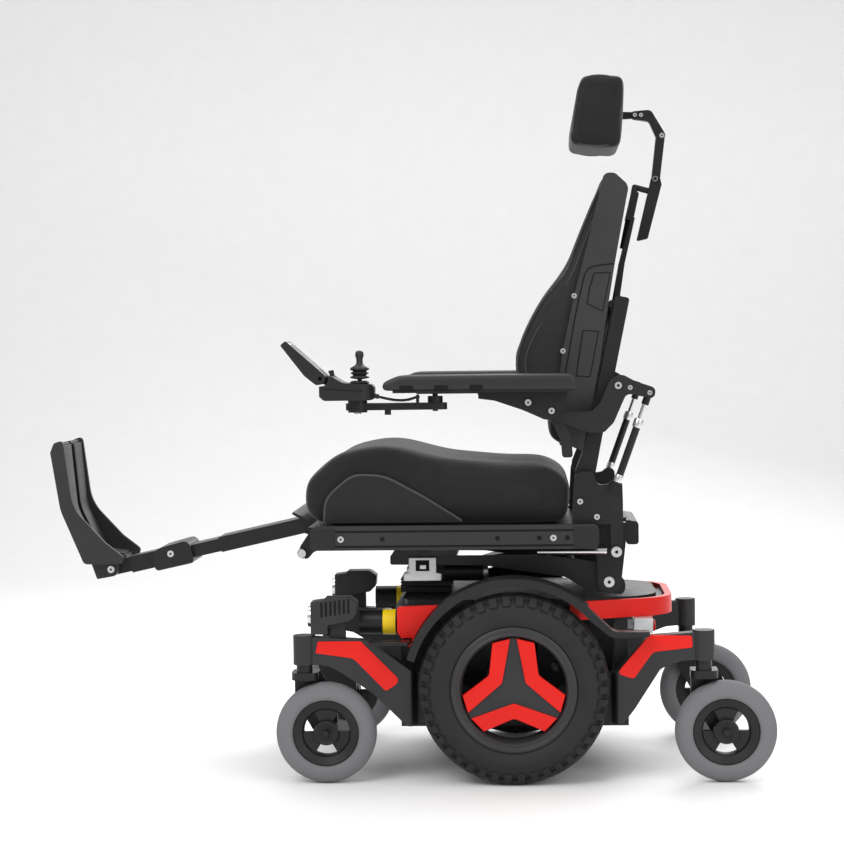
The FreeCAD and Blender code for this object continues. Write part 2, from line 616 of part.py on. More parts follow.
def joystick_base():
    side = [(-352, 724, 6), (-342, 716, 6), (-251, 716, 8), (-251, 745, 8), (-306, 748, 20), (-330, 762, 6),
            (-352, 757, 4)]
    plan = [(-352, JOY_Y - 42, 10), (-251, JOY_Y - 42, 30), (-251, JOY_Y + 42, 30), (-352, JOY_Y + 42, 10)]
    body = slab_y(side, JOY_Y - 42, JOY_Y + 42).common(slab_z(plan, 700, 790))
    hinge_room = rod_y(HINGE_X, HINGE_Z, 15, JOY_Y - 50, JOY_Y + 50)
    well = rod_z(STICK_X, JOY_Y, 19, 722, 760)
    lug = slab_y([(-358, HINGE_Z - 4, 3), (-358, HINGE_Z + 5, 3), (-334, HINGE_Z + 2),
                  (-336, HINGE_Z - 16)],
                 JOY_Y - 7, JOY_Y + 7)
    pin = rod_y(HINGE_X, HINGE_Z, 3, JOY_Y - 24, JOY_Y + 24)
    along = (CABLE_ROUTE[1] - CABLE_ROUTE[0]).normalize()
    gland = rod(CABLE_ROUTE[0] - along * 14, CABLE_ROUTE[0], 4.5)
    return joined(less(body, hinge_room, well), lug, pin, gland)


def joystick_gimbal():
    """Ring in the joystick well that lets the stick tilt both ways."""
    ring = rod_z(STICK_X, JOY_Y, 16, STICK_Z - 3, STICK_Z + 3)
    return less(ring, rod_z(STICK_X, JOY_Y, 10, STICK_Z - 5, STICK_Z + 5))


def joystick_stick():
    """Stick with a ball at its foot, ribbed boot and rounded knob."""
    profile = [(0, 727), (6, 730), (8, 734), (6, 738), (4, 740), (4, 757), (18, 757), (18, 760), (12, 762),
               (17, 765), (17, 767), (12, 769), (18, 772), (17, 776), (8, 781), (6, 790), (8, 796),
               (8, 802),
               (5, 807), (0, 808)]
    face = Part.Face(Part.makePolygon([Vector(STICK_X + r, JOY_Y, z) for r, z in profile + profile[:1]]))
    return face.revolve(Vector(STICK_X, JOY_Y, 0), Vector(0, 0, 1), 360)


def joystick_display():
    """Hinged display in front of the stick."""
    side = [(-412, 827, 3), (-422, 819, 3), (-378, 762, 20), (-356, 744.5, 8), (-341, 748, 6),
            (-339, 762, 5)]
    body = slab_y(side, JOY_Y - 40, JOY_Y + 40)
    slot = box(-372, -330, JOY_Y - 8, JOY_Y + 8, 735, 775)
    bore = rod_y(HINGE_X, HINGE_Z, 3 + GAP, JOY_Y - 60, JOY_Y + 60)
    return less(body, slot, bore)


# ---- legrest ----
def along_leg(shape):
    """Drop a shape modelled on a level leg to the raised leg's slope."""
    return swung(shape, LEG_X, LEG_Z, -LEG_DROP)


def leg_box(u0, u1, half_width, w0, w1):
    return box(LEG_X - u1, LEG_X - u0, -half_width, half_width, LEG_Z + w0, LEG_Z + w1)


def legrest_tube():
    """Upper leg tube with a step and the clamp sleeve that the lower tube slides in."""
    eye = rod_y(LEG_X, LEG_Z, 14, -45, 45)
    tube = leg_box(4, 182, 45, -15, 15)
    neck = leg_box(182, 240, 42, -13, 12)
    u = LEG_X
    sleeve = slab_y([(u - 238, LEG_Z - 22, 6), (u - 238, LEG_Z + 24, 14), (u - 316, LEG_Z + 20, 26),
                     (u - 316, LEG_Z - 22, 8)], -58, 58)
    wide = leg_box(248, 320, 30.5, -16.5, 16.5)
    narrow = leg_box(120, 250, 20.5, -8.5, 8.5)
    bore = rod_y(LEG_X, LEG_Z, HINGE_R + GAP, -60, 60)
    return along_leg(less(joined(eye, tube, neck, sleeve), wide, narrow, bore))


def legrest_lower():
    """Sliding lower tube that ends in the hinge tongue of the footplates."""
    tail = leg_box(130, 252, 20, -8, 8)
    tube = leg_box(250, 367, 30, -16, 16)
    tongue = leg_box(367, FOOT_U, 7.9, -14, 14)
    eye = rod_y(LEG_X - FOOT_U, LEG_Z, 14, -7.9, 7.9)
    pin = rod_y(LEG_X - FOOT_U, LEG_Z, 6, -34, 34)
    return along_leg(joined(tail, tube, tongue, eye, pin))


def footplate():
    """Raised foot shell: sole plate, outer side wing and the hinge bracket at the heel."""
    foot_x = LEG_X - FOOT_U * math.cos(math.radians(LEG_DROP))
    foot_z = LEG_Z - FOOT_U * math.sin(math.radians(LEG_DROP))
    wing = [(TOE_X, 616, 6), (-894, 634, 8), (-876, 640, 8), (-859, 507, 90), (-796, 439, 40),
            (-760, 411, 8),
            (-764, 397, 6), (-838, 397, 10), (-883, 503, 90)]
    sole = [(TOE_X, 616, 6), (-894, 634, 8), (-882, 634, 4), (-870, 503, 90), (-828, 410, 8),
            (-775, 405), (-775, 397),
            (-838, 397, 10), (-883, 503, 90)]
    bracket = [(-840, 400), (-826, 361, 3), (-786, 368, 12), (-781, 398)]
    shell = joined(slab_y(wing, 88, 96), slab_y(sole, 9, 88), slab_y(bracket, 9, 31))
    return less(shell, rod_y(foot_x, foot_z, 6 + GAP, 0, 40))


# ---- all sub-parts ----
def caster_nodes():
    ends = (("front", FRONT_SWIVEL_X, 207, 222, 277, FRONT_SIDE),
            ("rear", REAR_SWIVEL_X, 208, 227, 283, REAR_SIDE))
    nodes = {}
    for end, x, crown, low, high, side_outline in ends:
        arm = caster_arm(x, low, high, side_outline)
        fork = caster_fork(x, crown, low)
        wheel = caster_wheel(x)
        nodes.update(pair(end + "_arm", arm))
        nodes.update(pair(end + "_fork", fork))
        nodes.update(pair(end + "_caster", wheel))
    return nodes


def pair(name, right):
    """Right-hand part and its mirrored left-hand twin."""
    return {name + "_right": right, name + "_left": mirrored(right)}


def all_nodes():
    cover = base_cover()
    cable, cable_length = tube_path(CABLE_ROUTE, CABLE_R)
    print("cable length %.1f, volume ratio %.3f" % (cable_length,
                                                    cable.Volume / (math.pi * CABLE_R ** 2 * cable_length)))
    nodes = {
        "chassis_frame": chassis_frame(), "battery_pack": battery_pack(), "drive_motors": drive_motors(),
        "base_cover": cover, "body_panels": body_panels(), "fenders": fenders(), "rear_lamps": rear_lamps(),
        "lift_column": lift_column(), "lift_stage": lift_stage(), "lift_carriage": lift_carriage(),
        "headlight_left": headlight(-1), "headlight_right": headlight(1),
        "seat_rails": seat_rails(), "seat_pan": seat_pan(), "seat_cushion": seat_cushion(),
        "cushion_bolsters": cushion_bolsters(), "cane_bases": cane_bases(), "power_module": power_module(),
        "back_canes": back_canes(), "back_shell": back_shell(), "back_cushion": back_cushion(),
        "lateral_pads": lateral_pads(), "headrest_post": headrest_post(), "headrest_link": headrest_link(),
        "headrest_arm": headrest_arm(), "headrest_pad": headrest_pad(),
        "armrest_left": left_armrest(), "armrest_right": armrest(),
        "joystick_arm": joystick_arm(), "joystick_base": joystick_base(),
        "joystick_gimbal": joystick_gimbal(),
        "joystick_stick": joystick_stick(), "joystick_display": joystick_display(), "joystick_cable": cable,
        "legrest_tube": legrest_tube(), "legrest_lower": legrest_lower(),
    }
    nodes.update(caster_nodes())
    nodes.update(pair("drive_tyre", drive_tyre()))
    nodes.update(pair("drive_rim", drive_rim()))
    nodes.update(pair("arm_carrier", arm_carrier()))
    nodes.update(pair("arm_pad", arm_pad()))
    nodes.update(pair("arm_strut", arm_strut()))
    nodes.update(pair("footplate", footplate()))
    return nodes


def save(name, shape):
    """Write one sub-part as STEP, moved so that the footprint's middle is the origin."""
    solids = shape if isinstance(shape, list) else [shape]
    compound = Part.Compound([s for piece in solids for s in piece.Solids])
    compound.translate(Vector(AXLE_X, 0, 0))
    compound.exportStep("parts/" + name + ".step")
    bounds = compound.BoundBox
    print("%-18s solids %2d valid %s x %8.1f %8.1f y %7.1f %7.1f z %7.1f %7.1f" % (
        name, len(compound.Solids), compound.isValid(), bounds.XMin, bounds.XMax, bounds.YMin, bounds.YMax,
        bounds.ZMin, bounds.ZMax))


os.makedirs("parts", exist_ok=True)
for node_name, node_shape in all_nodes().items():
    save(node_name, node_shape)
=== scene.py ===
"""Visual model of a power wheelchair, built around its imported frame."""

import logging
import math
from dataclasses import dataclass
from enum import Enum
from typing import Callable, Iterable, Sequence

import bmesh
import bpy
from mathutils import Matrix, Vector


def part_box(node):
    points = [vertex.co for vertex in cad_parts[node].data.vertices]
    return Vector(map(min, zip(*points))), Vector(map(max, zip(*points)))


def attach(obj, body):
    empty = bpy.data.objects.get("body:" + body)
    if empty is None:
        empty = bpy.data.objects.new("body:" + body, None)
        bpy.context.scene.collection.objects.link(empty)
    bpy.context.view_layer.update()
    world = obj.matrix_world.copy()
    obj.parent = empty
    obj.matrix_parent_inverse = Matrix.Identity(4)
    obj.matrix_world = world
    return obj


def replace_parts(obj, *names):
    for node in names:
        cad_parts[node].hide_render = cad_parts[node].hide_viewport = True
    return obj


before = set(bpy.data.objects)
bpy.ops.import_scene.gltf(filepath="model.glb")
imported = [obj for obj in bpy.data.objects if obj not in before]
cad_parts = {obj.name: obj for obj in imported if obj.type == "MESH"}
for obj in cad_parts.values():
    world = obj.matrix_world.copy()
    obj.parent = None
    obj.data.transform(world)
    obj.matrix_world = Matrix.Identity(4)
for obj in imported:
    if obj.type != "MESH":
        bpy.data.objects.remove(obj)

LOG = logging.getLogger("wheelchair")
Point = tuple[float, ...]
Outline = Sequence[Point]
MM = 0.001
SHARP_ANGLE = 38.0  # degrees past which an edge stays sharp
SWELL_FRAMES = 14  # steps of the cloth simulation


class Side(Enum):
    """Side of the chair; the value is the sign of Y."""

    LEFT = -1
    RIGHT = 1

    @property
    def word(self) -> str:
        """Name used in the frame's node and body names."""
        return self.name.lower()


class Facing(Enum):
    """Plane that an outline is drawn in."""

    SIDE = "xz"
    PLAN = "xy"
    FRONT = "yz"


class AxleFrame:
    """Turns millimetres measured from the drive axle into the frame's metres."""

    def __init__(self) -> None:
        """Read the place of the drive axle from the frame."""
        low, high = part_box("drive_tyre_left")
        self.axle_x = (low[0] + high[0]) / 2.0
        self.drive_radius = (high[2] - low[2]) / 2.0 / MM

    def point(self, x: float, y: float, z: float) -> Vector:
        """Point in metres."""
        return Vector((self.axle_x + x * MM, y * MM, z * MM))


PLACE = AxleFrame()


def add_node(tree: bpy.types.NodeTree, kind: str, inputs: dict[str | int, object],
             **settings: object) -> bpy.types.Node:
    """Add a node, set its properties, and fill or link its inputs.

    Args:
        tree: Tree to add to.
        kind: Node type.
        inputs: Values, or sockets to link from, by input name or number.
        **settings: Node properties.

    Returns:
        The node.
    """
    node = tree.nodes.new(kind)
    for label, value in settings.items():
        setattr(node, label, value)
    for label, value in inputs.items():
        if isinstance(value, bpy.types.NodeSocket):
            tree.links.new(value, node.inputs[label])
        else:
            node.inputs[label].default_value = value
    return node


# ---------------------------------------------------------------- finishes
@dataclass(frozen=True)
class Finish:
    """A surface finish: colour with slow variation, fine grain and scuffed roughness.

    Attributes:
        name: Material name.
        colour: Linear base colour.
        rough: Middle roughness.
        metal: Metallic value.
        grain: Scale of the fine grain, per metre.
        relief: Strength of the grain's bump.
        shift: How far the colour varies.
        coat: Clear coat weight.
        sheen: Sheen weight, for cloth.
        weave: Threads per metre of a woven or knitted face; zero for none.
        brushed: Whether the grain is drawn out along X as on turned metal.
    """

    name: str
    colour: tuple[float, float, float]
    rough: float = 0.5
    metal: float = 0.0
    grain: float = 900.0
    relief: float = 0.08
    shift: float = 0.12
    coat: float = 0.0
    sheen: float = 0.0
    weave: float = 0.0
    brushed: bool = False

    def build(self) -> bpy.types.Material:
        """Make the node material, or return it if it exists.

        Returns:
            The material.
        """
        known = bpy.data.materials.get(self.name)
        if known:
            return known
        material = bpy.data.materials.new(self.name)
        material.use_nodes = True
        tree = material.node_tree
        shader = tree.nodes["Principled BSDF"]
        glossy = bool(self.metal or self.coat)
        levels = {"Metallic": self.metal, "Specular IOR Level": 0.5 if glossy else 0.3, "Coat Weight": self.coat,
                  "Coat Roughness": 0.12, "Sheen Weight": self.sheen, "Sheen Roughness": 0.45}
        for label, value in levels.items():
            shader.inputs[label].default_value = value
        place = tree.nodes.new("ShaderNodeTexCoord").outputs["Object"]
        tree.links.new(self._colour(tree, place), shader.inputs["Base Color"])
        tree.links.new(self._roughness(tree, place), shader.inputs["Roughness"])
        tree.links.new(self._bump(tree, place), shader.inputs["Normal"])
        return material

    def _noise(self, tree: bpy.types.NodeTree, place: bpy.types.NodeSocket, scale: float,
               detail: float = 4.0) -> bpy.types.NodeSocket:
        """Noise value at a scale."""
        noise = {"Scale": scale, "Detail": detail, "Vector": place}
        return add_node(tree, "ShaderNodeTexNoise", noise).outputs["Fac"]

    def _colour(self, tree: bpy.types.NodeTree, place: bpy.types.NodeSocket) -> bpy.types.NodeSocket:
        """Slowly varying base colour, with painted shade between the threads of a cloth.

        Args:
            tree: Material tree.
            place: Coordinates.

        Returns:
            The colour socket.
        """
        ramp = add_node(tree, "ShaderNodeValToRGB", {"Fac": self._noise(tree, place, 14.0)})
        dark, light = ramp.color_ramp.elements
        dark.position, light.position = 0.3, 0.72
        dark.color = (*[c * (1 - self.shift) for c in self.colour], 1.0)
        light.color = (*[min(1.0, c * (1 + self.shift)) for c in self.colour], 1.0)
        if not self.weave:
            return ramp.outputs["Color"]
        # Painted shade: the colour is darkened where the threads dip, as if shade fell between them.
        painted_thread_shade = {"Fac": 0.35, "Color1": ramp.outputs["Color"], "Color2": self._threads(tree, place)}
        return add_node(tree, "ShaderNodeMixRGB", painted_thread_shade, blend_type="MULTIPLY").outputs["Color"]

    def _roughness(self, tree: bpy.types.NodeTree, place: bpy.types.NodeSocket) -> bpy.types.NodeSocket:
        """Roughness that varies like light handling marks.

        Args:
            tree: Material tree.
            place: Coordinates.

        Returns:
            The roughness socket.
        """
        spread = {"To Min": max(0.02, self.rough - 0.08), "To Max": min(1.0, self.rough + 0.08),
                  "Value": self._noise(tree, place, 38.0, 6.0)}
        return add_node(tree, "ShaderNodeMapRange", spread).outputs["Result"]

    def _threads(self, tree: bpy.types.NodeTree, place: bpy.types.NodeSocket) -> bpy.types.NodeSocket:
        """Crossed threads of a stretch cloth.

        Args:
            tree: Material tree.
            place: Coordinates.

        Returns:
            A value that is high on the threads.
        """
        total: bpy.types.NodeSocket | None = None
        threads = {"Scale": self.weave / 20.0, "Distortion": 0.6, "Vector": place}
        for direction in ("X", "Y", "Z"):
            wave = add_node(tree, "ShaderNodeTexWave", threads, bands_direction=direction).outputs["Fac"]
            if total is None:
                total = wave
                continue
            total = add_node(tree, "ShaderNodeMath", {0: total, 1: 0.5, 2: wave},
                             operation="MULTIPLY_ADD").outputs["Value"]
        return total

    def _bump(self, tree: bpy.types.NodeTree, place: bpy.types.NodeSocket) -> bpy.types.NodeSocket:
        """Fine grain or weave as bump.

        Args:
            tree: Material tree.
            place: Coordinates.

        Returns:
            The normal socket.
        """
        if self.brushed:
            drawn_out = {"Scale": (0.05, 1.0, 1.0), "Vector": place}
            place = add_node(tree, "ShaderNodeMapping", drawn_out).outputs["Vector"]
        height = self._threads(tree, place) if self.weave else self._noise(tree, place, self.grain, 3.0)
        bump = {"Strength": self.relief, "Distance": 0.0006, "Height": height}
        return add_node(tree, "ShaderNodeBump", bump).outputs["Normal"]


POWDER_COAT = Finish("powder_coat_black", (0.012, 0.012, 0.013), rough=0.36, grain=1500, relief=0.10)
MOULDED_BLACK = Finish("moulded_black", (0.014, 0.014, 0.015), rough=0.46, grain=1300, relief=0.12)
MOULDED_CHARCOAL = Finish("moulded_charcoal", (0.026, 0.026, 0.028), rough=0.48, grain=1300, relief=0.14)
SHELL_CHARCOAL = Finish("shell_charcoal", (0.032, 0.032, 0.034), rough=0.42, grain=1500, relief=0.10)
RED_PANEL = Finish("red_panel", (0.7, 0.008, 0.003), rough=0.38, grain=1800, relief=0.03, shift=0.05)
DRIVE_RUBBER = Finish("drive_rubber", (0.016, 0.016, 0.016), rough=0.62, grain=700, relief=0.22)
CASTER_RUBBER = Finish("caster_rubber", (0.034, 0.034, 0.036), rough=0.6, grain=800, relief=0.18)
STRETCH_CLOTH = Finish("stretch_cloth", (0.011, 0.011, 0.012), rough=0.85, relief=0.3, sheen=0.22, weave=2600.0)
WING_CLOTH = Finish("wing_cloth", (0.016, 0.016, 0.017), rough=0.8, relief=0.3, sheen=0.25, weave=2200.0)
PIPING = Finish("piping", (0.05, 0.05, 0.053), rough=0.6, grain=1600, relief=0.3, sheen=0.2)
PAD_SKIN = Finish("pad_skin", (0.022, 0.022, 0.023), rough=0.44, grain=1000, relief=0.16)
ZINC = Finish("zinc_bolt", (0.66, 0.66, 0.65), rough=0.28, metal=1.0, grain=2500, relief=0.04, shift=0.05)
CAST_METAL = Finish("cast_aluminium", (0.62, 0.62, 0.62), rough=0.33, metal=1.0, grain=900, relief=0.12)
SILVER_ROD = Finish("silver_rod", (0.7, 0.7, 0.7), rough=0.2, metal=1.0, grain=2500, relief=0.05, brushed=True)
YELLOW_TAPE = Finish("yellow_tape", (0.85, 0.6, 0.01), rough=0.4, grain=1500, relief=0.05, shift=0.04)
# Near black shared by painted shade (in slots, windows, holes, grip recesses and bolt sockets) and by real dark seams
# and panel lines.
PAINTED_SHADE_AND_SEAM = Finish("painted_shade_and_seam", (0.003, 0.003, 0.003), rough=0.8, relief=0.02)
RED_LENS = Finish("red_lens", (0.5, 0.01, 0.01), rough=0.15, relief=0.02, coat=0.6)
CLEAR_LENS = Finish("clear_lens", (0.62, 0.63, 0.64), rough=0.14, grain=260, relief=0.8, shift=0.25, coat=0.8)
WHITE_KEY = Finish("white_key", (0.7, 0.7, 0.7), rough=0.35, relief=0.03)
SCREEN = Finish("screen_glass", (0.25, 0.27, 0.3), rough=0.08, relief=0.01, coat=0.9)
CABLE_SHEATH = Finish("cable_sheath", (0.01, 0.01, 0.01), rough=0.5, grain=1500, relief=0.1)
PALE_FLOOR = Finish("pale_floor", (0.93, 0.93, 0.93), rough=0.55, grain=200, relief=0.01, shift=0.01)


# ---------------------------------------------------------------- repeated things
class NodeKit:
    """Geometry Nodes trees for what repeats on the chair."""

    def _tree(self, name: str, sizes: dict[str, float]) -> tuple[bpy.types.NodeTree, bpy.types.Node, bpy.types.Node]:
        """New tree with named size inputs.

        Args:
            name: Tree name.
            sizes: Input names and their default values.

        Returns:
            The tree, its input node and its output node.
        """
        tree = bpy.data.node_groups.new(name, "GeometryNodeTree")
        for way in ("INPUT", "OUTPUT"):
            tree.interface.new_socket("Geometry", in_out=way, socket_type="NodeSocketGeometry")
        for label, value in sizes.items():
            socket = tree.interface.new_socket(label, in_out="INPUT", socket_type="NodeSocketFloat")
            socket.default_value = value
        return tree, tree.nodes.new("NodeGroupInput"), tree.nodes.new("NodeGroupOutput")

    def _painted(self, tree: bpy.types.NodeTree, source: bpy.types.NodeSocket,
                 material: bpy.types.Material) -> bpy.types.NodeSocket:
        """Give geometry a material inside a tree."""
        paint = {"Material": material, "Geometry": source}
        return add_node(tree, "GeometryNodeSetMaterial", paint).outputs["Geometry"]

    def _direction(self, tree: bpy.types.NodeTree, name: str) -> bpy.types.NodeSocket:
        """Direction stored at each point.

        Args:
            tree: The tree.
            name: Attribute name.

        Returns:
            The vector socket.
        """
        named = add_node(tree, "GeometryNodeInputNamedAttribute", {}, data_type="FLOAT_VECTOR")
        named.inputs["Name"].default_value = name
        return named.outputs["Attribute"]

    def _aim(self, tree: bpy.types.NodeTree) -> bpy.types.NodeSocket:
        """Rotation that turns Z to the point's stored direction."""
        turn = {"Vector": self._direction(tree, "aim")}
        return add_node(tree, "FunctionNodeAlignRotationToVector", turn, axis="Z").outputs["Rotation"]

    def _placed(self, tree: bpy.types.NodeTree, points: bpy.types.Node, shape: bpy.types.NodeSocket,
                rotation: bpy.types.NodeSocket) -> bpy.types.NodeSocket:
        """One real copy of a shape at each point.

        Args:
            tree: The tree.
            points: The tree's input node.
            shape: Shape to repeat.
            rotation: Rotation of each copy.

        Returns:
            The realised geometry.
        """
        repeat = {"Points": points.outputs["Geometry"], "Instance": shape, "Rotation": rotation}
        place = add_node(tree, "GeometryNodeInstanceOnPoints", repeat)
        real = add_node(tree, "GeometryNodeRealizeInstances", {"Geometry": place.outputs["Instances"]})
        return real.outputs["Geometry"]

    def bolt_tree(self, material: bpy.types.Material) -> bpy.types.NodeTree:
        """Round bolt heads with a rim and a dark disc of painted shade for the socket, one at each point.

        Args:
            material: Material of the bolts.

        Returns:
            The tree, with inputs Radius and Height.
        """
        tree, given, output = self._tree("bolt_heads", {"Radius": 0.005, "Height": 0.003})
        join = tree.nodes.new("GeometryNodeJoinGeometry")
        # Painted shade: a dark disc stands for the shade inside each bolt's socket.
        socket = PAINTED_SHADE_AND_SEAM.build()
        rings = ((1.0, 0.6, 28, material), (0.84, 1.0, 28, material), (0.36, 1.05, 6, socket))
        for share, tall, sides, look in rings:
            sizes: dict[str | int, object] = {"Vertices": sides}
            for target, label, factor in (("Radius", "Radius", share), ("Depth", "Height", 2.0 * tall)):
                scaled = {0: given.outputs[label], 1: factor}
                sizes[target] = add_node(tree, "ShaderNodeMath", scaled, operation="MULTIPLY").outputs["Value"]
            head = add_node(tree, "GeometryNodeMeshCylinder", sizes)
            tree.links.new(self._painted(tree, head.outputs["Mesh"], look), join.inputs["Geometry"])
        heads = self._placed(tree, given, join.outputs["Geometry"], self._aim(tree))
        tree.links.new(heads, output.inputs["Geometry"])
        return tree

    def block_tree(self, name: str, material: bpy.types.Material) -> bpy.types.NodeTree:
        """Small blocks, one at each point, standing along the point's direction.

        Args:
            name: Tree name.
            material: Material of the blocks.

        Returns:
            The tree, with inputs Long, Wide and High.
        """
        tree, given, output = self._tree(name, {"Long": 0.01, "Wide": 0.004, "High": 0.002})
        sides = {axis: given.outputs[label] for axis, label in (("X", "Long"), ("Y", "Wide"), ("Z", "High"))}
        size = add_node(tree, "ShaderNodeCombineXYZ", sides)
        cube = add_node(tree, "GeometryNodeMeshCube", {"Size": size.outputs["Vector"]})
        turn = {"Rotation": self._aim(tree), "Vector": self._direction(tree, "along")}
        align = add_node(tree, "FunctionNodeAlignRotationToVector", turn, axis="X", pivot_axis="Z")
        blocks = self._placed(tree, given, cube.outputs["Mesh"], align.outputs["Rotation"])
        tree.links.new(self._painted(tree, blocks, material), output.inputs["Geometry"])
        return tree

    def grow(self, name: str, tree: bpy.types.NodeTree, sizes: dict[str, float], places: Sequence[Vector],
             aims: Sequence[Vector], along: Sequence[Vector] | None = None) -> bpy.types.Mesh:
        """Run a tree on a set of points and keep the result as a plain mesh.

        Args:
            name: Mesh name.
            tree: Tree to run.
            sizes: Its size inputs, in metres.
            places: Points in metres.
            aims: Direction of each point.
            along: Second direction of each point.

        Returns:
            The realised mesh.
        """
        cloud = bpy.data.meshes.new(name + "_points")
        cloud.from_pydata([tuple(p) for p in places], [], [])
        self._store(cloud, "aim", aims)
        self._store(cloud, "along", along if along else [Vector((1, 0, 0))] * len(places))
        holder = bpy.data.objects.new(name + "_holder", cloud)
        bpy.context.scene.collection.objects.link(holder)
        modifier = holder.modifiers.new("repeat", "NODES")
        modifier.node_group = tree
        sockets = {s.name: s.identifier for s in tree.interface.items_tree if s.in_out == "INPUT"}
        for label, value in sizes.items():
            modifier[sockets[label]] = value
        mesh = bpy.data.meshes.new_from_object(holder.evaluated_get(bpy.context.evaluated_depsgraph_get()))
        holder.modifiers.remove(modifier)
        bpy.data.objects.remove(holder)
        bpy.data.meshes.remove(cloud)
        mesh.name = name
        for attribute in ("aim", "along"):
            if attribute in mesh.attributes:
                mesh.attributes.remove(mesh.attributes[attribute])
        return mesh

    def _store(self, mesh: bpy.types.Mesh, name: str, values: Sequence[Vector]) -> None:
        """Store one direction for each point.

        Args:
            mesh: Points mesh.
            name: Attribute name.
            values: Directions.
        """
        layer = mesh.attributes.new(name, "FLOAT_VECTOR", "POINT")
        for item, value in zip(layer.data, values):
            item.vector = value


# ---------------------------------------------------------------- mesh kit
class MeshKit:
    """Makes finished mesh objects at the origin from outlines, profiles and paths."""

    def __init__(self, nodes: NodeKit) -> None:
        """Keep the Geometry Nodes kit."""
        self.nodes = nodes

    def piece(self, name: str, mesh: bpy.types.Mesh, finish: Finish | bpy.types.Material, smooth: bool = True,
              angle: float = SHARP_ANGLE) -> bpy.types.Object:
        """Wrap a mesh as a dressed object.

        Args:
            name: Object name.
            mesh: Its mesh.
            finish: Finish, or a ready material.
            smooth: Whether faces are shaded smooth.
            angle: Edge angle, in degrees, past which an edge stays sharp.

        Returns:
            The object.
        """
        obj = bpy.data.objects.new(name, mesh)
        bpy.context.scene.collection.objects.link(obj)
        material = finish.build() if isinstance(finish, Finish) else finish
        if not mesh.materials:
            mesh.materials.append(material)
        for polygon in mesh.polygons:
            polygon.use_smooth = smooth
        if smooth:
            mesh.set_sharp_from_angle(angle=math.radians(angle))
        return obj

    def rounded(self, points: Outline, steps: int = 5) -> list[Point]:
        """Round the corners of an outline.

        Args:
            points: Points of (a, b) or (a, b, corner radius), in millimetres.
            steps: Segments in each corner.

        Returns:
            Plain (a, b) points.
        """
        result: list[Point] = []
        count = len(points)
        for i, point in enumerate(points):
            at = Vector(point[:2])
            if len(point) < 3 or point[2] <= 0:
                result.append(tuple(at))
                continue
            back = Vector(points[i - 1][:2]) - at
            ahead = Vector(points[(i + 1) % count][:2]) - at
            half = back.angle(ahead) / 2.0
            reach = min(point[2] / math.tan(half), 0.48 * min(back.length, ahead.length))
            start = at + back.normalized() * reach
            end = at + ahead.normalized() * reach
            for step in range(steps + 1):
                t = step / steps
                result.append(tuple(start.lerp(at, t).lerp(at.lerp(end, t), t)))
        return result

    def slab(self, name: str, points: Outline, low: float, high: float, finish: Finish,
             facing: Facing = Facing.SIDE, bevel: float = 1.5, steps: int = 5) -> bpy.types.Object:
        """Outline thickened between two planes, with rounded edges.

        Args:
            name: Object name.
            points: Outline in millimetres from the drive axle.
            low: First plane, in millimetres.
            high: Second plane, in millimetres.
            finish: Its finish.
            facing: Plane that the outline is drawn in.
            bevel: Width of the rounded edges, in millimetres.
            steps: Segments in each rounded corner.

        Returns:
            The object.
        """
        build = bmesh.new()
        flat = self.rounded(points, steps)
        low, high = min(low, high), max(low, high)
        place: Callable[[float, float, float], Vector] = {
            Facing.SIDE: lambda a, b, depth: PLACE.point(a, depth, b),
            Facing.PLAN: lambda a, b, depth: PLACE.point(a, b, depth),
            Facing.FRONT: lambda a, b, depth: PLACE.point(depth, a, b),
        }[facing]
        bottom = [build.verts.new(place(a, b, low)) for a, b in flat]
        top = [build.verts.new(place(a, b, high)) for a, b in flat]
        build.faces.new(bottom)
        build.faces.new(top)
        for i in range(len(flat)):
            j = (i + 1) % len(flat)
            build.faces.new((bottom[i], bottom[j], top[j], top[i]))
        bmesh.ops.recalc_face_normals(build, faces=build.faces)
        if bevel > 0:
            rim = [e for e in build.edges if (e.verts[0] in bottom) == (e.verts[1] in bottom)]
            bmesh.ops.bevel(build, geom=rim, offset=bevel * MM, segments=3, profile=0.6, affect="EDGES",
                            clamp_overlap=True)
        return self.finished(name, build, finish)

    def finished(self, name: str, build: bmesh.types.BMesh, finish: Finish,
                 angle: float = SHARP_ANGLE) -> bpy.types.Object:
        """Close a bmesh into a dressed object with its faces outward.

        Args:
            name: Object name.
            build: The bmesh, which is freed.
            finish: Its finish.
            angle: Sharp edge angle in degrees.

        Returns:
            The object.
        """
        bmesh.ops.remove_doubles(build, verts=build.verts, dist=1e-6)
        bmesh.ops.recalc_face_normals(build, faces=build.faces)
        mesh = bpy.data.meshes.new(name)
        build.to_mesh(mesh)
        build.free()
        return self.piece(name, mesh, finish, angle=angle)

    def lathe(self, name: str, profile: Sequence[Point], centre: Vector, axis: Vector, finish: Finish,
              segments: int = 96, angle: float = SHARP_ANGLE) -> bpy.types.Object:
        """Closed profile turned about an axis.

        Args:
            name: Object name.
            profile: Points of (radius, height along the axis), in millimetres.
            centre: Point on the axis, in metres, where height is zero.
            axis: Direction of the axis.
            finish: Its finish.
            segments: Steps round the axis.
            angle: Sharp edge angle in degrees.

        Returns:
            The object.
        """
        build = bmesh.new()
        turn = axis.normalized().to_track_quat("Z", "Y").to_matrix()
        rings: list[list[bmesh.types.BMVert]] = []
        for step in range(segments):
            a = 2 * math.pi * step / segments
            ring = [Vector((r * MM * math.cos(a), r * MM * math.sin(a), h * MM)) for r, h in profile]
            rings.append([build.verts.new(centre + turn @ place) for place in ring])
        for step in range(segments):
            here, there = rings[step], rings[(step + 1) % segments]
            for i in range(len(profile)):
                j = (i + 1) % len(profile)
                build.faces.new((here[i], there[i], there[j], here[j]))
        bmesh.ops.remove_doubles(build, verts=build.verts, dist=1e-7)
        bmesh.ops.dissolve_degenerate(build, edges=build.edges, dist=1e-7)
        return self.finished(name, build, finish, angle=angle)

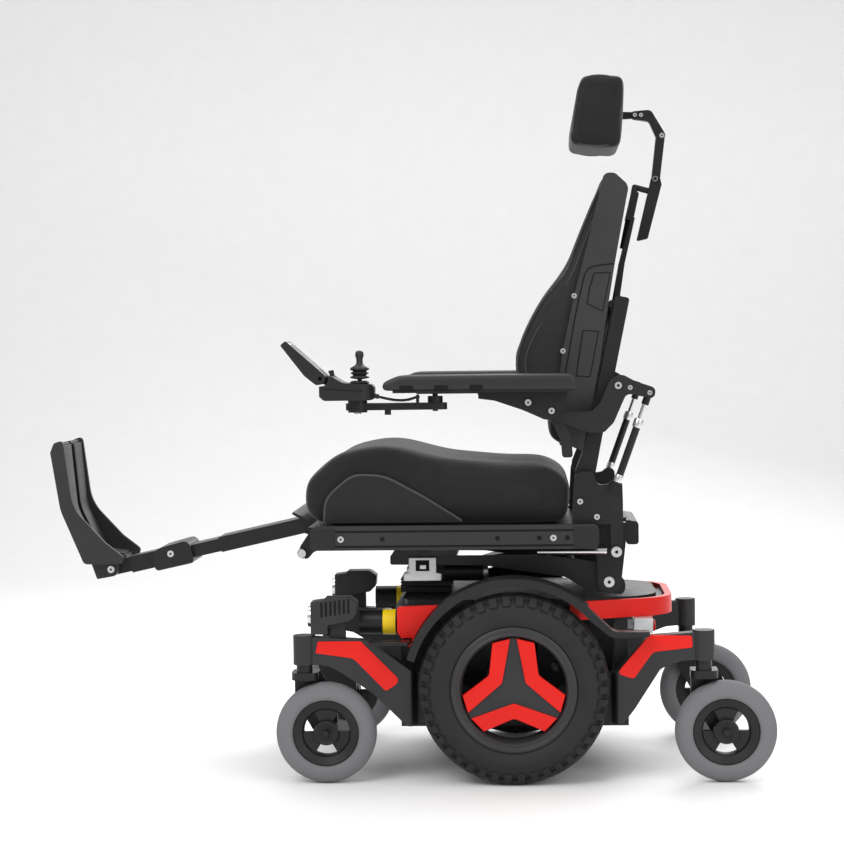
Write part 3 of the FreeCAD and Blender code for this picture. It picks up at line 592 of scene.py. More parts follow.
    def tube(self, name: str, points: Iterable[Vector], radius: float, finish: Finish,
             closed: bool = False, smooth: bool = True) -> bpy.types.Object:
        """Round tube along points, as a mesh with closed ends.

        Args:
            name: Object name.
            points: Path in metres.
            radius: Tube radius in millimetres.
            finish: Its finish.
            closed: Whether the path is a loop.
            smooth: Whether the path is a smooth spline.

        Returns:
            The object.
        """
        curve = bpy.data.curves.new(name, "CURVE")
        curve.dimensions = "3D"
        curve.bevel_depth = radius * MM
        curve.bevel_resolution = 3
        curve.resolution_u = 6
        curve.use_fill_caps = True
        path = list(points)
        spline = curve.splines.new("NURBS" if smooth else "POLY")
        spline.points.add(len(path) - 1)
        for target, point in zip(spline.points, path):
            target.co = (*point, 1.0)
        if smooth:
            spline.order_u = 3
            spline.use_endpoint_u = not closed
        spline.use_cyclic_u = closed
        holder = bpy.data.objects.new(name + "_line", curve)
        bpy.context.scene.collection.objects.link(holder)
        mesh = bpy.data.meshes.new_from_object(holder.evaluated_get(bpy.context.evaluated_depsgraph_get()))
        bpy.data.objects.remove(holder)
        build = bmesh.new()
        build.from_mesh(mesh)
        bpy.data.meshes.remove(mesh)
        return self.finished(name, build, finish, angle=60.0)

    def join(self, name: str, *objects: bpy.types.Object) -> bpy.types.Object:
        """Join pieces of one finish into one object.

        Args:
            name: New name.
            *objects: Pieces; the first gives the finish.

        Returns:
            The joined object.
        """
        build = bmesh.new()
        material = objects[0].data.materials[0]
        for obj in objects:
            build.from_mesh(obj.data)
            mesh = obj.data
            bpy.data.objects.remove(obj)
            bpy.data.meshes.remove(mesh)
        mesh = bpy.data.meshes.new(name)
        build.to_mesh(mesh)
        build.free()
        return self.piece(name, mesh, material)

    def mirrored(self, name: str, source: bpy.types.Object) -> bpy.types.Object:
        """Twin of a piece across the middle plane.

        Args:
            name: New name.
            source: The piece.

        Returns:
            The mirrored piece.
        """
        build = bmesh.new()
        build.from_mesh(source.data)
        for vert in build.verts:
            vert.co.y = -vert.co.y
        bmesh.ops.reverse_faces(build, faces=build.faces)
        mesh = bpy.data.meshes.new(name)
        build.to_mesh(mesh)
        build.free()
        return self.piece(name, mesh, source.data.materials[0])

    def soften(self, obj: bpy.types.Object, voxel: float, swell: float, cap: float, levels: int = 1) -> None:
        """Turn a hard form into a padded one: remesh, inflate as cloth, smooth and subdivide.

        Args:
            obj: The piece, changed in place.
            voxel: Remesh size in millimetres.
            swell: Cloth pressure.
            cap: Furthest that a point may move, in millimetres.
            levels: Subdivision levels at the end.
        """
        self.apply(obj, "REMESH", mode="VOXEL", voxel_size=voxel * MM, use_smooth_shade=True)
        self.apply(obj, "SMOOTH", factor=0.6, iterations=14)
        start = [v.co.copy() for v in obj.data.vertices]
        cloth = obj.modifiers.new("swell", "CLOTH")
        cloth.settings.use_pressure = True
        cloth.settings.uniform_pressure_force = swell
        cloth.settings.effector_weights.gravity = 0.0
        cloth.settings.quality = 4
        for number in range(SWELL_FRAMES):
            bpy.context.scene.frame_set(number + 1)
        shape = bpy.data.meshes.new_from_object(obj.evaluated_get(bpy.context.evaluated_depsgraph_get()))
        obj.modifiers.remove(cloth)
        for vert, origin, moved in zip(obj.data.vertices, start, shape.vertices):
            step = moved.co - origin
            if step.length > cap * MM:
                step = step.normalized() * cap * MM
            vert.co = origin + step
        bpy.data.meshes.remove(shape)
        bpy.context.scene.frame_set(1)
        self.apply(obj, "SMOOTH", factor=0.5, iterations=6)
        if levels:
            self.apply(obj, "SUBSURF", levels=levels, render_levels=levels)
        for polygon in obj.data.polygons:
            polygon.use_smooth = True

    def apply(self, obj: bpy.types.Object, kind: str, **settings: object) -> None:
        """Apply one modifier to a piece.

        Args:
            obj: The piece.
            kind: Modifier type.
            **settings: Its settings.
        """
        modifier = obj.modifiers.new(kind.lower(), kind)
        for key, value in settings.items():
            setattr(modifier, key, value)
        mesh = bpy.data.meshes.new_from_object(obj.evaluated_get(bpy.context.evaluated_depsgraph_get()))
        old = obj.data
        material = old.materials[0]
        obj.modifiers.remove(modifier)
        obj.data = mesh
        mesh.materials.clear()
        mesh.materials.append(material)
        bpy.data.meshes.remove(old)


# ---------------------------------------------------------------- shared base of the sub-assemblies
@dataclass
class Assembly:
    """A group of pieces that is built and dressed together.

    Attributes:
        kit: Mesh kit.
    """

    kit: MeshKit

    def dress(self, finish: Finish, *nodes: str) -> None:
        """Give frame nodes a finish.

        Args:
            finish: The finish.
            *nodes: Node names.
        """
        for name in nodes:
            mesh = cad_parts[name].data
            mesh.materials.clear()
            mesh.materials.append(finish.build())

    def bolts(self, name: str, body: str, radius: float, places: Sequence[Point], aim: Vector,
              finish: Finish = ZINC, height: float = 2.4) -> None:
        """Bolt heads in a group, riding on a body.

        Args:
            name: Piece name.
            body: Body that they ride on.
            radius: Head radius in millimetres.
            places: Points in millimetres from the drive axle.
            aim: Direction that the heads face.
            finish: Their finish.
            height: Height of a head in millimetres.
        """
        tree = self.kit.nodes.bolt_tree(finish.build())
        mesh = self.kit.nodes.grow(name, tree, {"Radius": radius * MM, "Height": height * MM},
                                   [PLACE.point(*p) for p in places], [aim] * len(places))
        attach(self.kit.piece(name, mesh, finish, angle=30.0), body)

    def blocks(self, name: str, body: str, size: Point, places: Sequence[Vector], aims: Sequence[Vector],
               along: Sequence[Vector], finish: Finish) -> None:
        """Small blocks in a group, riding on a body.

        Args:
            name: Piece name.
            body: Body that they ride on.
            size: Length, width and height in millimetres.
            places: Points in metres.
            aims: Direction of each block's height.
            along: Direction of each block's length.
            finish: Their finish.
        """
        tree = self.kit.nodes.block_tree(name + "_tree", finish.build())
        sizes = {"Long": size[0] * MM, "Wide": size[1] * MM, "High": size[2] * MM}
        mesh = self.kit.nodes.grow(name, tree, sizes, places, aims, along)
        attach(self.kit.piece(name, mesh, finish, smooth=False), body)

    def plate(self, body: str, name: str, points: Outline, low: float, high: float, finish: Finish,
              bevel: float = 1.5, steps: int = 5) -> bpy.types.Object:
        """Slab drawn in side view, riding on a body.

        Args:
            body: Body name.
            name: Piece name.
            points: Outline in millimetres from the drive axle.
            low: First face's Y, in millimetres.
            high: Second face's Y, in millimetres.
            finish: Its finish.
            bevel: Width of the rounded edges, in millimetres.
            steps: Segments in each rounded corner.

        Returns:
            The piece.
        """
        piece = self.kit.slab(name, points, low, high, finish, bevel=bevel, steps=steps)
        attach(piece, body)
        return piece

    def turned(self, body: str, name: str, profile: Sequence[Point], centre: Vector, axis: Vector, finish: Finish,
               segments: int = 48, angle: float = SHARP_ANGLE) -> bpy.types.Object:
        """Turned piece riding on a body.

        Args:
            body: Body name.
            name: Piece name.
            profile: Points of (radius, height along the axis), in millimetres.
            centre: Point on the axis, in metres, where height is zero.
            axis: Direction of the axis.
            finish: Its finish.
            segments: Steps round the axis.
            angle: Sharp edge angle in degrees.

        Returns:
            The piece.
        """
        piece = self.kit.lathe(name, profile, centre, axis, finish, segments, angle)
        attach(piece, body)
        return piece

    def ride(self, body: str, *objects: bpy.types.Object) -> None:
        """Ride pieces on a body."""
        for obj in objects:
            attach(obj, body)


# ---------------------------------------------------------------- wheels
@dataclass
class DriveWheel(Assembly):
    """Drive wheel: lugged tyre, rim ring and a three-armed spoke with red chevrons."""

    side: Side = Side.LEFT
    middle: float = 269.0
    tread: float = 175.6
    lugs: int = 42

    def build(self) -> None:
        """Build the wheel and put it in place of the plain one."""
        word = self.side.word
        body = f"drive_wheel_{word}"
        centre = PLACE.point(0, self.side.value * self.middle, PLACE.drive_radius)
        out = Vector((0, self.side.value, 0))
        tyre = self._tyre(f"tyre_{word}", centre, out)
        ring = self._ring(f"rim_ring_{word}", centre, out)
        star = self._star(f"spoke_{word}", 97.5, [(31, 0), (99, 54), (99, 66)], 8, 21, MOULDED_CHARCOAL)
        hub_profile = [(0, -35), (26, -35), (34, -10), (44, 9), (0, 9)]
        hub = self.kit.lathe(f"hub_{word}", hub_profile, centre, out, MOULDED_BLACK, 64)
        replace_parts(tyre, f"drive_tyre_{word}")
        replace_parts(ring, f"drive_rim_{word}")
        self.ride(body, tyre, ring, star, hub)
        for index in range(3):
            self.ride(body, self._chevron(f"red_chevron_{word}_{index}", 30 + 120 * index))
        self._lugs(word, body, centre, out)

    def _tyre(self, name: str, centre: Vector, out: Vector) -> bpy.types.Object:
        """Tyre carcass with raised sidewall bands.

        Args:
            name: Piece name.
            centre: Wheel centre.
            out: Outward direction.

        Returns:
            The tyre.
        """
        half = [(117, 27), (121, 31), (126, 31.6), (128, 33.2), (144, 35.2), (146, 34.2), (151, 33.8), (157, 31),
                (163, 26), (168.5, 20), (self.tread - 4, 12), (self.tread - 3, 4)]
        profile = [(r, -h) for r, h in half] + [(r, h) for r, h in reversed(half)]
        return self.kit.lathe(name, profile, centre, out, DRIVE_RUBBER, 144, 50.0)

    def _ring(self, name: str, centre: Vector, out: Vector) -> bpy.types.Object:
        """Rim ring with a stepped lip.

        Args:
            name: Piece name.
            centre: Wheel centre.
            out: Outward direction.

        Returns:
            The ring.
        """
        profile = [(96, -20), (96, 12), (98, 20), (99, 26), (101, 28.5), (104, 28.5), (106, 27), (113, 29.5),
                   (116.5, 28), (117.5, 24), (117.5, -26), (110, -28), (104, -24)]
        return self.kit.lathe(name, profile, centre, out, SHELL_CHARCOAL, 144)

    def _polar(self, radius: float, degrees: float) -> Point:
        """Side-view point at a radius and angle about the axle."""
        angle = math.radians(degrees)
        return radius * math.cos(angle), PLACE.drive_radius + radius * math.sin(angle)

    def _star(self, name: str, rim: float, corners: Sequence[Point], low: float, high: float,
              finish: Finish) -> bpy.types.Object:
        """Three-armed spoke with hollowed sides.

        Args:
            name: Piece name.
            rim: Radius of the arm ends.
            corners: Radius and angle of the corners in each third.
            low: Inner face, from the wheel's middle.
            high: Outer face.
            finish: Its finish.

        Returns:
            The spoke.
        """
        outline = [self._polar(min(r, rim), 30 + 120 * k + a) + ((6.0,) if a == 0 else ())
                   for k in range(3) for r, a in corners]
        near = self.side.value * (self.middle + low)
        return self.kit.slab(name, outline, near, self.side.value * (self.middle + high), finish, bevel=3.0)

    def _chevron(self, name: str, heading: float) -> bpy.types.Object:
        """Red V-shaped insert between two arms.

        Args:
            name: Piece name.
            heading: Angle of the middle of the V, in degrees.

        Returns:
            The insert.
        """
        tips = [self._polar(95.5, heading + turn) for turn in (56.5, 36, -36, -56.5)]
        outline = [(*self._polar(25, heading), 10), *tips[:2], (*self._polar(53, heading), 14), *tips[2:]]
        near = self.side.value * (self.middle + 10)
        return self.kit.slab(name, outline, near, self.side.value * (self.middle + 24.5), RED_PANEL, bevel=2.0)

    def _lugs(self, word: str, body: str, centre: Vector, out: Vector) -> None:
        """Shoulder lugs on both sides and two rows of tread blocks.

        Args:
            word: Side word.
            body: Body to ride on.
            centre: Wheel centre.
            out: Outward direction.
        """
        shoulder, middle, crown = (13.5, 20.0, 7.0), (15.0, 13.0, 8.0), (15.0, 9.0, 8.4)
        rows = ((27.0, 164.0, 52.0, 0.0, shoulder), (-27.0, 164.0, -52.0, 0.5, shoulder),
                (17.0, 171.0, 22.0, 0.5, middle), (-17.0, 171.0, -22.0, 0.0, middle),
                (5.5, 173.2, 0.0, 0.0, crown), (-5.5, 173.2, 0.0, 0.5, crown))
        for index, (across, radius, lean, phase, size) in enumerate(rows):
            places, aims, along = [], [], []
            for k in range(self.lugs):
                angle = 2 * math.pi * (k + phase) / self.lugs
                radial = Vector((math.cos(angle), 0, math.sin(angle)))
                places.append(centre + radial * radius * MM + out * across * MM)
                tilt = math.radians(lean)
                aims.append(radial * math.cos(tilt) + out * math.sin(tilt))
                along.append(Vector((-math.sin(angle), 0, math.cos(angle))))
            self.blocks(f"tread_{word}_{index}", body, size, places, aims, along, DRIVE_RUBBER)


@dataclass
class CasterWheel(Assembly):
    """Grey caster wheel with a dished hub that has three windows."""

    node: str = ""
    half: float = 23.5

    def build(self) -> None:
        """Build the wheel and put it in place of the plain one."""
        low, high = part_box(self.node)
        centre = (Vector(low) + Vector(high)) / 2.0
        out = Vector((0, math.copysign(1.0, centre.y), 0))
        radius = (high[2] - low[2]) / 2.0 / MM
        h = self.half
        side = [(62, h - 5), (64, h - 1.5), (70, h - 0.4), (80, h - 1.5), (88, h - 6), (92.6, h - 13),
                (radius, h - 20)]
        carcass = [(r, -z) for r, z in side] + [(r, z) for r, z in reversed(side)]
        dish = [(43, -h + 9), (43, 4), (46, 11), (55, 15), (60, 17), (62.5, 16), (62.5, -16), (56, -h + 8)]
        boss = [(0, -h + 4), (22, -h + 4), (22, 8), (23.5, 12), (22.5, 15.5), (19, 16.5), (17.5, 15.6), (0, 15.6)]
        tyre = self.kit.lathe(f"{self.node}_tyre", carcass, centre, out, CASTER_RUBBER, 96, 60.0)
        rim = self.kit.lathe(f"{self.node}_rim", dish, centre, out, MOULDED_BLACK, 96)
        cap = self.kit.lathe(f"{self.node}_cap", boss, centre, out, MOULDED_BLACK, 64)
        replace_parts(tyre, self.node)
        self.ride(self.node, tyre, rim, cap, self._web(centre, out))

    def _web(self, centre: Vector, out: Vector) -> bpy.types.Object:
        """Three curved webs that leave three windows.

        Args:
            centre: Wheel centre.
            out: Outward direction.

        Returns:
            The webs, joined.
        """
        webs = []
        x = (centre.x - PLACE.axle_x) / MM
        z = centre.z / MM
        y = centre.y / MM
        for k in range(3):
            arc = []
            for radius, angles in ((20, range(-34, 35, 17)), (45, range(34, -35, -17))):
                for a in angles:
                    angle = math.radians(90 + 120 * k + a * (1.0 if radius < 30 else 0.92))
                    arc.append((x + radius * math.cos(angle), z + radius * math.sin(angle)))
            near, far = y - out.y * 6, y + out.y * 7
            webs.append(self.kit.slab(f"{self.node}_web{k}", arc, near, far, MOULDED_BLACK, bevel=2.5))
        return self.kit.join(f"{self.node}_web", *webs)


# ---------------------------------------------------------------- drive base
@dataclass
class SuspensionSide(Assembly):
    """One side's sprung arms, casters, headlight and drive wheel."""

    side: Side = Side.LEFT

    def build(self) -> None:
        """Build everything that hangs on one side of the base."""
        word = self.side.word
        self.dress(MOULDED_CHARCOAL, f"front_arm_{word}", f"rear_arm_{word}")
        self.dress(POWDER_COAT, f"front_fork_{word}", f"rear_fork_{word}")
        DriveWheel(self.kit, self.side).build()
        for end in ("front", "rear"):
            CasterWheel(self.kit, f"{end}_caster_{word}").build()
        self._inserts(word)
        self._headlight(word)

    def _across(self, distance: float) -> float:
        """Signed Y of a distance from the middle plane."""
        return self.side.value * distance

    def _inserts(self, word: str) -> None:
        """Red inserts let into the outer faces of the arms.

        Args:
            word: Side word.
        """
        front = [(-365, 266, 3), (-285, 266, 4), (-210, 191, 12), (-239, 172, 6), (-299, 234, 24), (-370, 244, 3)]
        rear = [(252, 275, 3), (330, 273, 4), (331, 251, 4), (258, 243, 20), (222, 193, 8), (190, 203, 8)]
        for end, outline in (("front", front), ("rear", rear)):
            self.plate(f"{end}_arm_{word}", f"{end}_insert_{word}", outline, self._across(259), self._across(263.4),
                       RED_PANEL, 0.8)

    def _headlight(self, word: str) -> None:
        """Lamp housing with a silver front ring, cooling slots drawn as dark blocks of painted shade, and a post.

        Args:
            word: Side word.
        """
        body = f"front_arm_{word}"
        low, high = self._across(224), self._across(266)
        side = [(-378, 279, 3), (-378, 340, 3), (-354, 343, 3), (-350, 348, 3), (-304, 348, 12), (-290, 338, 8),
                (-292, 316, 8), (-304, 304, 8), (-346, 296, 4), (-346, 279, 4)]
        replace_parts(self.plate(body, f"lamp_shell_{word}", side, low, high, MOULDED_CHARCOAL, 5.0),
                    f"headlight_{word}")
        post = [(-344, 256), (-344, 302), (-314, 308), (-314, 256)]
        self.plate(body, f"lamp_post_{word}", post, self._across(236), self._across(254), MOULDED_BLACK, 2.0)
        middle, ahead = PLACE.point(-374, self._across(245), 311), Vector((-1, 0, 0))
        ring = [(14, -6), (19.5, -6), (20, 6), (19, 10), (16, 10), (14.5, 6)]
        self.turned(body, f"lamp_ring_{word}", ring, middle, ahead, SILVER_ROD, 64)
        lens = [(0, -4), (15, -4), (15, 6), (10, 8.4), (0, 9.2)]
        self.turned(body, f"lamp_lens_{word}", lens, middle, ahead, CLEAR_LENS, 64, 60.0)
        out = Vector((0, self.side.value, 0))
        # Painted shade: dark blocks stand just proud of the housing where the cooling slots are.
        slots = [PLACE.point(-357 + 8.4 * k, self._across(265.6), 325 + 1.2 * k) for k in range(7)]
        self.blocks(f"lamp_slots_{word}", body, (4.2, 27, 1.6), slots, [out] * 7, [Vector((1, 0, 0))] * 7, PAINTED_SHADE_AND_SEAM)


@dataclass
class DriveBase(Assembly):
    """Chassis, covers, lamps and the column that the seat lifts on."""

    def build(self) -> None:
        """Build the base."""
        self.dress(POWDER_COAT, "chassis_frame", "battery_pack", "drive_motors", "lift_column")
        self.dress(MOULDED_BLACK, "base_cover", "fenders")
        self.dress(RED_PANEL, "body_panels")
        self.dress(CLEAR_LENS, "rear_lamps")
        for side in Side:
            SuspensionSide(self.kit, side).build()
            self._side_details(side)

    def _side_details(self, side: Side) -> None:
        """Pivot caps, yellow tape, lamps and bosses of one side.

        Args:
            side: Side of the base.
        """
        word = side.word
        y = side.value
        self.turned("chassis", f"tape_{word}", [(21, -12), (23.8, -12), (23.8, 12), (21, 12)],
                    PLACE.point(-234, y * 205, 295), Vector((1, 0, 0)), YELLOW_TAPE)
        self.turned("chassis", f"boss_{word}", [(0, -6), (12, -6), (12, 3), (9, 5), (0, 5)],
                    PLACE.point(77, y * 226, 210), Vector((0, y, 0)), POWDER_COAT)
        self.plate("chassis", f"red_lens_{word}", [(258, 272, 3), (258, 292, 3), (267, 292, 3), (267, 272, 3)],
                   y * 168, y * 186, RED_LENS)


@dataclass
class Lift(Assembly):
    """Lift carriage with cast covers, a rubber boot and the seat tilt gear."""

    def build(self) -> None:
        """Build the lift."""
        self.dress(POWDER_COAT, "lift_stage", "lift_carriage")
        self.plate("lift_carriage", "tilt_boot", [(-218, 346, 5), (-214, 364, 6), (-128, 364, 6), (-124, 346, 5)],
                   -70, 70, MOULDED_BLACK, 3.0)
        for k in range(3):
            foot, top = 347 + 6 * k, 349.4 + 6 * k
            self.plate("lift_carriage", f"boot_rib_{k}", [(-221, foot), (-221, top), (-121, top), (-121, foot)],
                       -72, 72, MOULDED_BLACK, 1.0)
        for name, back, front, half, radius, low, high, bevel in (
                ("lift_flange", -211, -135, 47, 6, 366.5, 381, 2.0),
                ("lift_casting", -201, -145, 41, 12, 380, 405.8, 3.0)):
            outline = [(back, -half, radius), (front, -half, radius), (front, half, radius), (back, half, radius)]
            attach(self.kit.slab(name, outline, low, high, CAST_METAL, Facing.PLAN, bevel), "lift_carriage")
        self.turned("lift_carriage", "motor_end", [(0, -4), (17, -4), (19, -2), (19, 6), (0, 6)],
                    PLACE.point(-56, -80, 377), Vector((1, 0, 0)), CAST_METAL)
        clamp = [(-209, 367, 3), (-209, 381, 3), (-199, 383), (-199, 412, 2), (-147, 412, 2), (-147, 383),
                 (-137, 381, 3), (-137, 367, 3)]
        # The clamp's window is filled with a dark plate of painted shade behind the lever.
        window = [(-186, 386), (-186, 407), (-160, 407), (-160, 386)]
        lever = [(-178, 390), (-178, 398), (-166, 398), (-166, 390)]
        for side in Side:
            y = side.value
            for name, shape, near, far, finish, bevel in (
                    ("clamp", clamp, 156.5, 163, CAST_METAL, 1.2),
                    ("clamp_window_shade", window, 160, 163.3, PAINTED_SHADE_AND_SEAM, 0.2),
                    ("clamp_lever", lever, 160, 164.4, CAST_METAL, 0.8)):
                self.plate("lift_carriage", f"{name}_{side.word}", shape, y * near, y * far, finish, bevel)
            self.bolts(f"tilt_bolts_{side.word}", "lift_carriage", 10.0, [(181, y * 172.5, 364)], Vector((0, y, 0)),
                       height=4.0)


# ---------------------------------------------------------------- seat and back
@dataclass
class Seat(Assembly):
    """Seat rails, pan, cushion, cane bases and power module."""

    rail_y: float = 246.0

    def build(self) -> None:
        """Build the seat."""
        self.dress(MOULDED_CHARCOAL, "seat_rails")
        self.dress(POWDER_COAT, "seat_pan", "cane_bases")
        self.dress(MOULDED_BLACK, "power_module")
        self._cushion()
        for side in Side:
            self._bolster(side)
            self._rail(side)
            self._actuator_end(side)

    def _cushion(self) -> None:
        """Contoured foam cushion in stretch cloth."""
        outline = [(-370, 479, 8), (-396, 505, 26), (-392, 560, 30), (-330, 614, 60), (-245, 631, 120),
                   (-130, 600, 200), (-25, 590, 150), (66, 588, 40), (109, 562, 34), (105, 479, 10)]
        cushion = self.kit.slab("cushion", outline, -204, 204, STRETCH_CLOTH, bevel=16.0, steps=8)
        self.kit.soften(cushion, 9.0, 0.5, 3.0)
        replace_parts(cushion, "seat_cushion")
        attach(cushion, "seat")

    def _actuator_end(self, side: Side) -> None:
        """Bracket and silver pin where the legrest's actuator meets the seat.

        Args:
            side: Side of the seat.
        """
        y = side.value
        outline = [(-372, 466), (-368, 440), (-402, 402, 8), (-424, 404, 8), (-416, 428, 4), (-390, 466)]
        self.plate("seat", f"actuator_bracket_{side.word}", outline, y * 64, y * 70, POWDER_COAT, 1.0)
        self.turned("seat", f"actuator_pin_{side.word}", [(0, -10), (8.6, -10), (9.4, -9), (9.4, 5), (8, 7), (0, 7)],
                    PLACE.point(-413, y * 70, 413), Vector((0, y, 0)), ZINC)

    def _bolster(self, side: Side) -> None:
        """Half-moon side panel with piping round its arch.

        Args:
            side: Side of the seat.
        """
        y = side.value
        outline = [(-355, 482, 4), (-352, 530, 50), (-300, 574, 50), (-240, 571, 90), (-165, 530, 60), (-96, 486, 6),
                   (-98, 482)]
        panel = self.kit.slab(f"half_moon_{side.word}", outline, y * 203, y * 214.5, WING_CLOTH, bevel=4.0)
        arch = [PLACE.point(a, y * 213, b) for a, b in self.kit.rounded(outline, 8)[:-1]]
        piping = self.kit.tube(f"half_moon_piping_{side.word}", arch, 2.4, PIPING)
        self.ride("seat", panel, piping)
        if side is Side.RIGHT:
            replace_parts(panel, "cushion_bolsters")

    def _rail(self, side: Side) -> None:
        """End caps, bolts, and painted shade in the slots and hole sleeves of one slotted rail.

        Args:
            side: Side of the seat.
        """
        y = side.value
        word = side.word
        out = Vector((0, y, 0))
        for label, outer, inner in (("front", -379, -332), ("rear", 161, 114)):
            outline = [(outer, 436.5, 12), (outer, 475.5, 12), (inner, 475.5, 2), (inner, 436.5, 2)]
            self.plate("seat", f"rail_cap_{label}_{word}", outline, y * 222.5, y * 247.6, MOULDED_BLACK, 2.0)
        # Painted shade: dark strips stand in the rail's two slots.
        for level in (441, 469):
            strip = [(-331, level - 1.9), (-331, level + 1.9), (113, level + 1.9), (113, level - 1.9)]
            self.plate("seat", f"rail_slot_{level}_{word}", strip, y * 242.2, y * 245.4, PAINTED_SHADE_AND_SEAM, 0)
        face = y * self.rail_y
        self.bolts(f"rail_bolts_{word}", "seat", 6.0, [(-321, face, 455), (76, face, 455)], out, height=3.0)
        # Painted shade: flat dark discs stand in the rail's holes.
        hole_shade_places = [(x, face, 455) for x in (-243, -28, 50, 102)]
        self.bolts(f"rail_plugs_{word}", "seat", 4.6, hole_shade_places, out, PAINTED_SHADE_AND_SEAM, 0.8)
        self.bolts(f"cane_bolts_{word}", "seat", 5.5, [(127, y * 215, 520), (158, y * 215, 491)], out, height=3.5)
        self.bolts(f"cane_pin_{word}", "seat", 10.0, [(194, y * 215, 425)], out, height=5.0)
        ends = [PLACE.point(x, y * 204, 425) for x in (46, 176)]
        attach(self.kit.tube(f"actuator_rod_{word}", ends, 6.5, SILVER_ROD, smooth=False), "seat")


@dataclass
class Back(Assembly):
    """Back canes, shell, cushion and the two lateral wings."""

    shell_y: float = 200.0

    def build(self) -> None:
        """Build the back."""
        self.dress(POWDER_COAT, "back_canes")
        self.dress(SHELL_CHARCOAL, "back_shell")
        self._cushion()
        self._wings()
        for side in Side:
            self._shell_lines(side)

    def _cushion(self) -> None:
        """Tall back cushion in stretch cloth."""
        outline = [(114, 612, 14), (150, 775), (165, 872), (180, 962), (196, 1053), (204, 1098, 10), (192, 1127, 12),
                   (176, 1127, 14), (142, 1010, 90), (100, 860, 120), (84, 770, 90), (66, 640, 20)]
        cushion = self.kit.slab("back_pad", outline, -145, 145, STRETCH_CLOTH, bevel=14.0, steps=8)
        self.kit.soften(cushion, 8.0, 0.5, 3.0)
        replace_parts(cushion, "back_cushion")
        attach(cushion, "back")

    def _wings(self) -> None:
        """Lateral wings with piping along the front edge and a seam inside it."""
        outline = [(112, 616, 10), (150, 775), (165, 872), (180, 962), (196, 1053), (204, 1098, 10), (192, 1130, 12),
                   (176, 1131, 12), (129, 1017, 150), (106, 955, 90), (52, 890, 60), (8, 800, 40), (10, 745, 20),
                   (62, 690, 30)]
        front = [(188, 1131), (171, 1126), (124, 1017), (101, 957), (47, 892), (4, 801), (7, 744), (58, 688),
                 (108, 622)]
        seam = [(178, 1104), (136, 1000), (116, 945), (70, 880), (24, 800), (26, 752), (72, 702), (112, 660)]
        wing = self.kit.slab("wing_left", outline, -147, -188, WING_CLOTH, bevel=12.0, steps=8)
        self.kit.soften(wing, 6.0, 0.35, 2.0)
        twin = self.kit.mirrored("wing_right", wing)
        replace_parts(wing, "lateral_pads")
        for piece, side in ((wing, Side.LEFT), (twin, Side.RIGHT)):
            y = side.value
            edge = [PLACE.point(a + 6, y * 184, b) for a, b in front]
            stitch = [PLACE.point(a + 2, y * 187.6, b) for a, b in seam]
            self.ride("back", piece, self.kit.tube(f"wing_piping_{side.word}", edge, 2.6, PIPING),
                      self.kit.tube(f"wing_seam_{side.word}", stitch, 1.2, PIPING))

    def _shell_lines(self, side: Side) -> None:
        """Outlines of the windows in the shell's side, a long seam and its bolts.

        Args:
            side: Side of the back.
        """
        y = side.value
        word = side.word
        upper = [(188, 948), (158, 947), (149, 920), (144, 890), (173, 876)]
        lower = [(165, 838), (136, 840), (129, 798), (122, 755), (148, 753)]
        rail = [(195, 964), (158, 962), (142, 952), (136, 930), (122, 870), (113, 820), (101, 756)]
        for label, line, loop in (("upper", upper, True), ("lower", lower, True), ("seam", rail, False)):
            path = [PLACE.point(a, y * self.shell_y, b) for a, b in line]
            line_piece = self.kit.tube(f"shell_{label}_{word}", path, 1.3, PAINTED_SHADE_AND_SEAM, closed=loop, smooth=not loop)
            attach(line_piece, "back")
        places = [(120, y * self.shell_y, 905), (98, y * self.shell_y, 802)]
        self.bolts(f"shell_bolts_{word}", "back", 5.0, places, Vector((0, y, 0)))


@dataclass
class Headrest(Assembly):
    """Head cushion on two adjusting links."""

    def build(self) -> None:
        """Build the headrest."""
        self.dress(POWDER_COAT, "headrest_post", "headrest_link", "headrest_arm")
        outline = [(139, 1329, 14), (222, 1326, 14), (213, 1188, 14), (113, 1196, 14)]
        pad = self.kit.slab("head_pad", outline, -114, 114, STRETCH_CLOTH, bevel=12.0, steps=8)
        self.kit.soften(pad, 5.0, 0.4, 2.0)
        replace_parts(pad, "headrest_pad")
        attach(pad, "headrest_pad")
        self.plate("headrest_pad", "head_tab", [(205, 1252), (206, 1268), (251, 1266, 5), (251, 1254, 5)], -4, 4,
                   POWDER_COAT, 0.6)
        rim = [(136, 1321), (172, 1329), (214, 1320), (214, 1250), (206, 1196), (160, 1191), (119, 1201), (126, 1260)]
        for side in Side:
            y = side.value
            out = Vector((0, y, 0))
            loop = [PLACE.point(a, y * 107, b) for a, b in rim]
            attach(self.kit.tube(f"head_seam_{side.word}", loop, 1.6, PIPING, closed=True), "headrest_pad")
            self.bolts(f"head_bolts_low_{side.word}", "headrest_link", 5.0,
                       [(283, y * 14.8, 1135), (297, y * 14.8, 1219)], out, height=2.0)
            self.bolts(f"head_bolts_top_{side.word}", "headrest_arm", 4.0,
                       [(257, y * 8.8, 1260), (245, y * 12.6, 1260)], out, height=1.6)


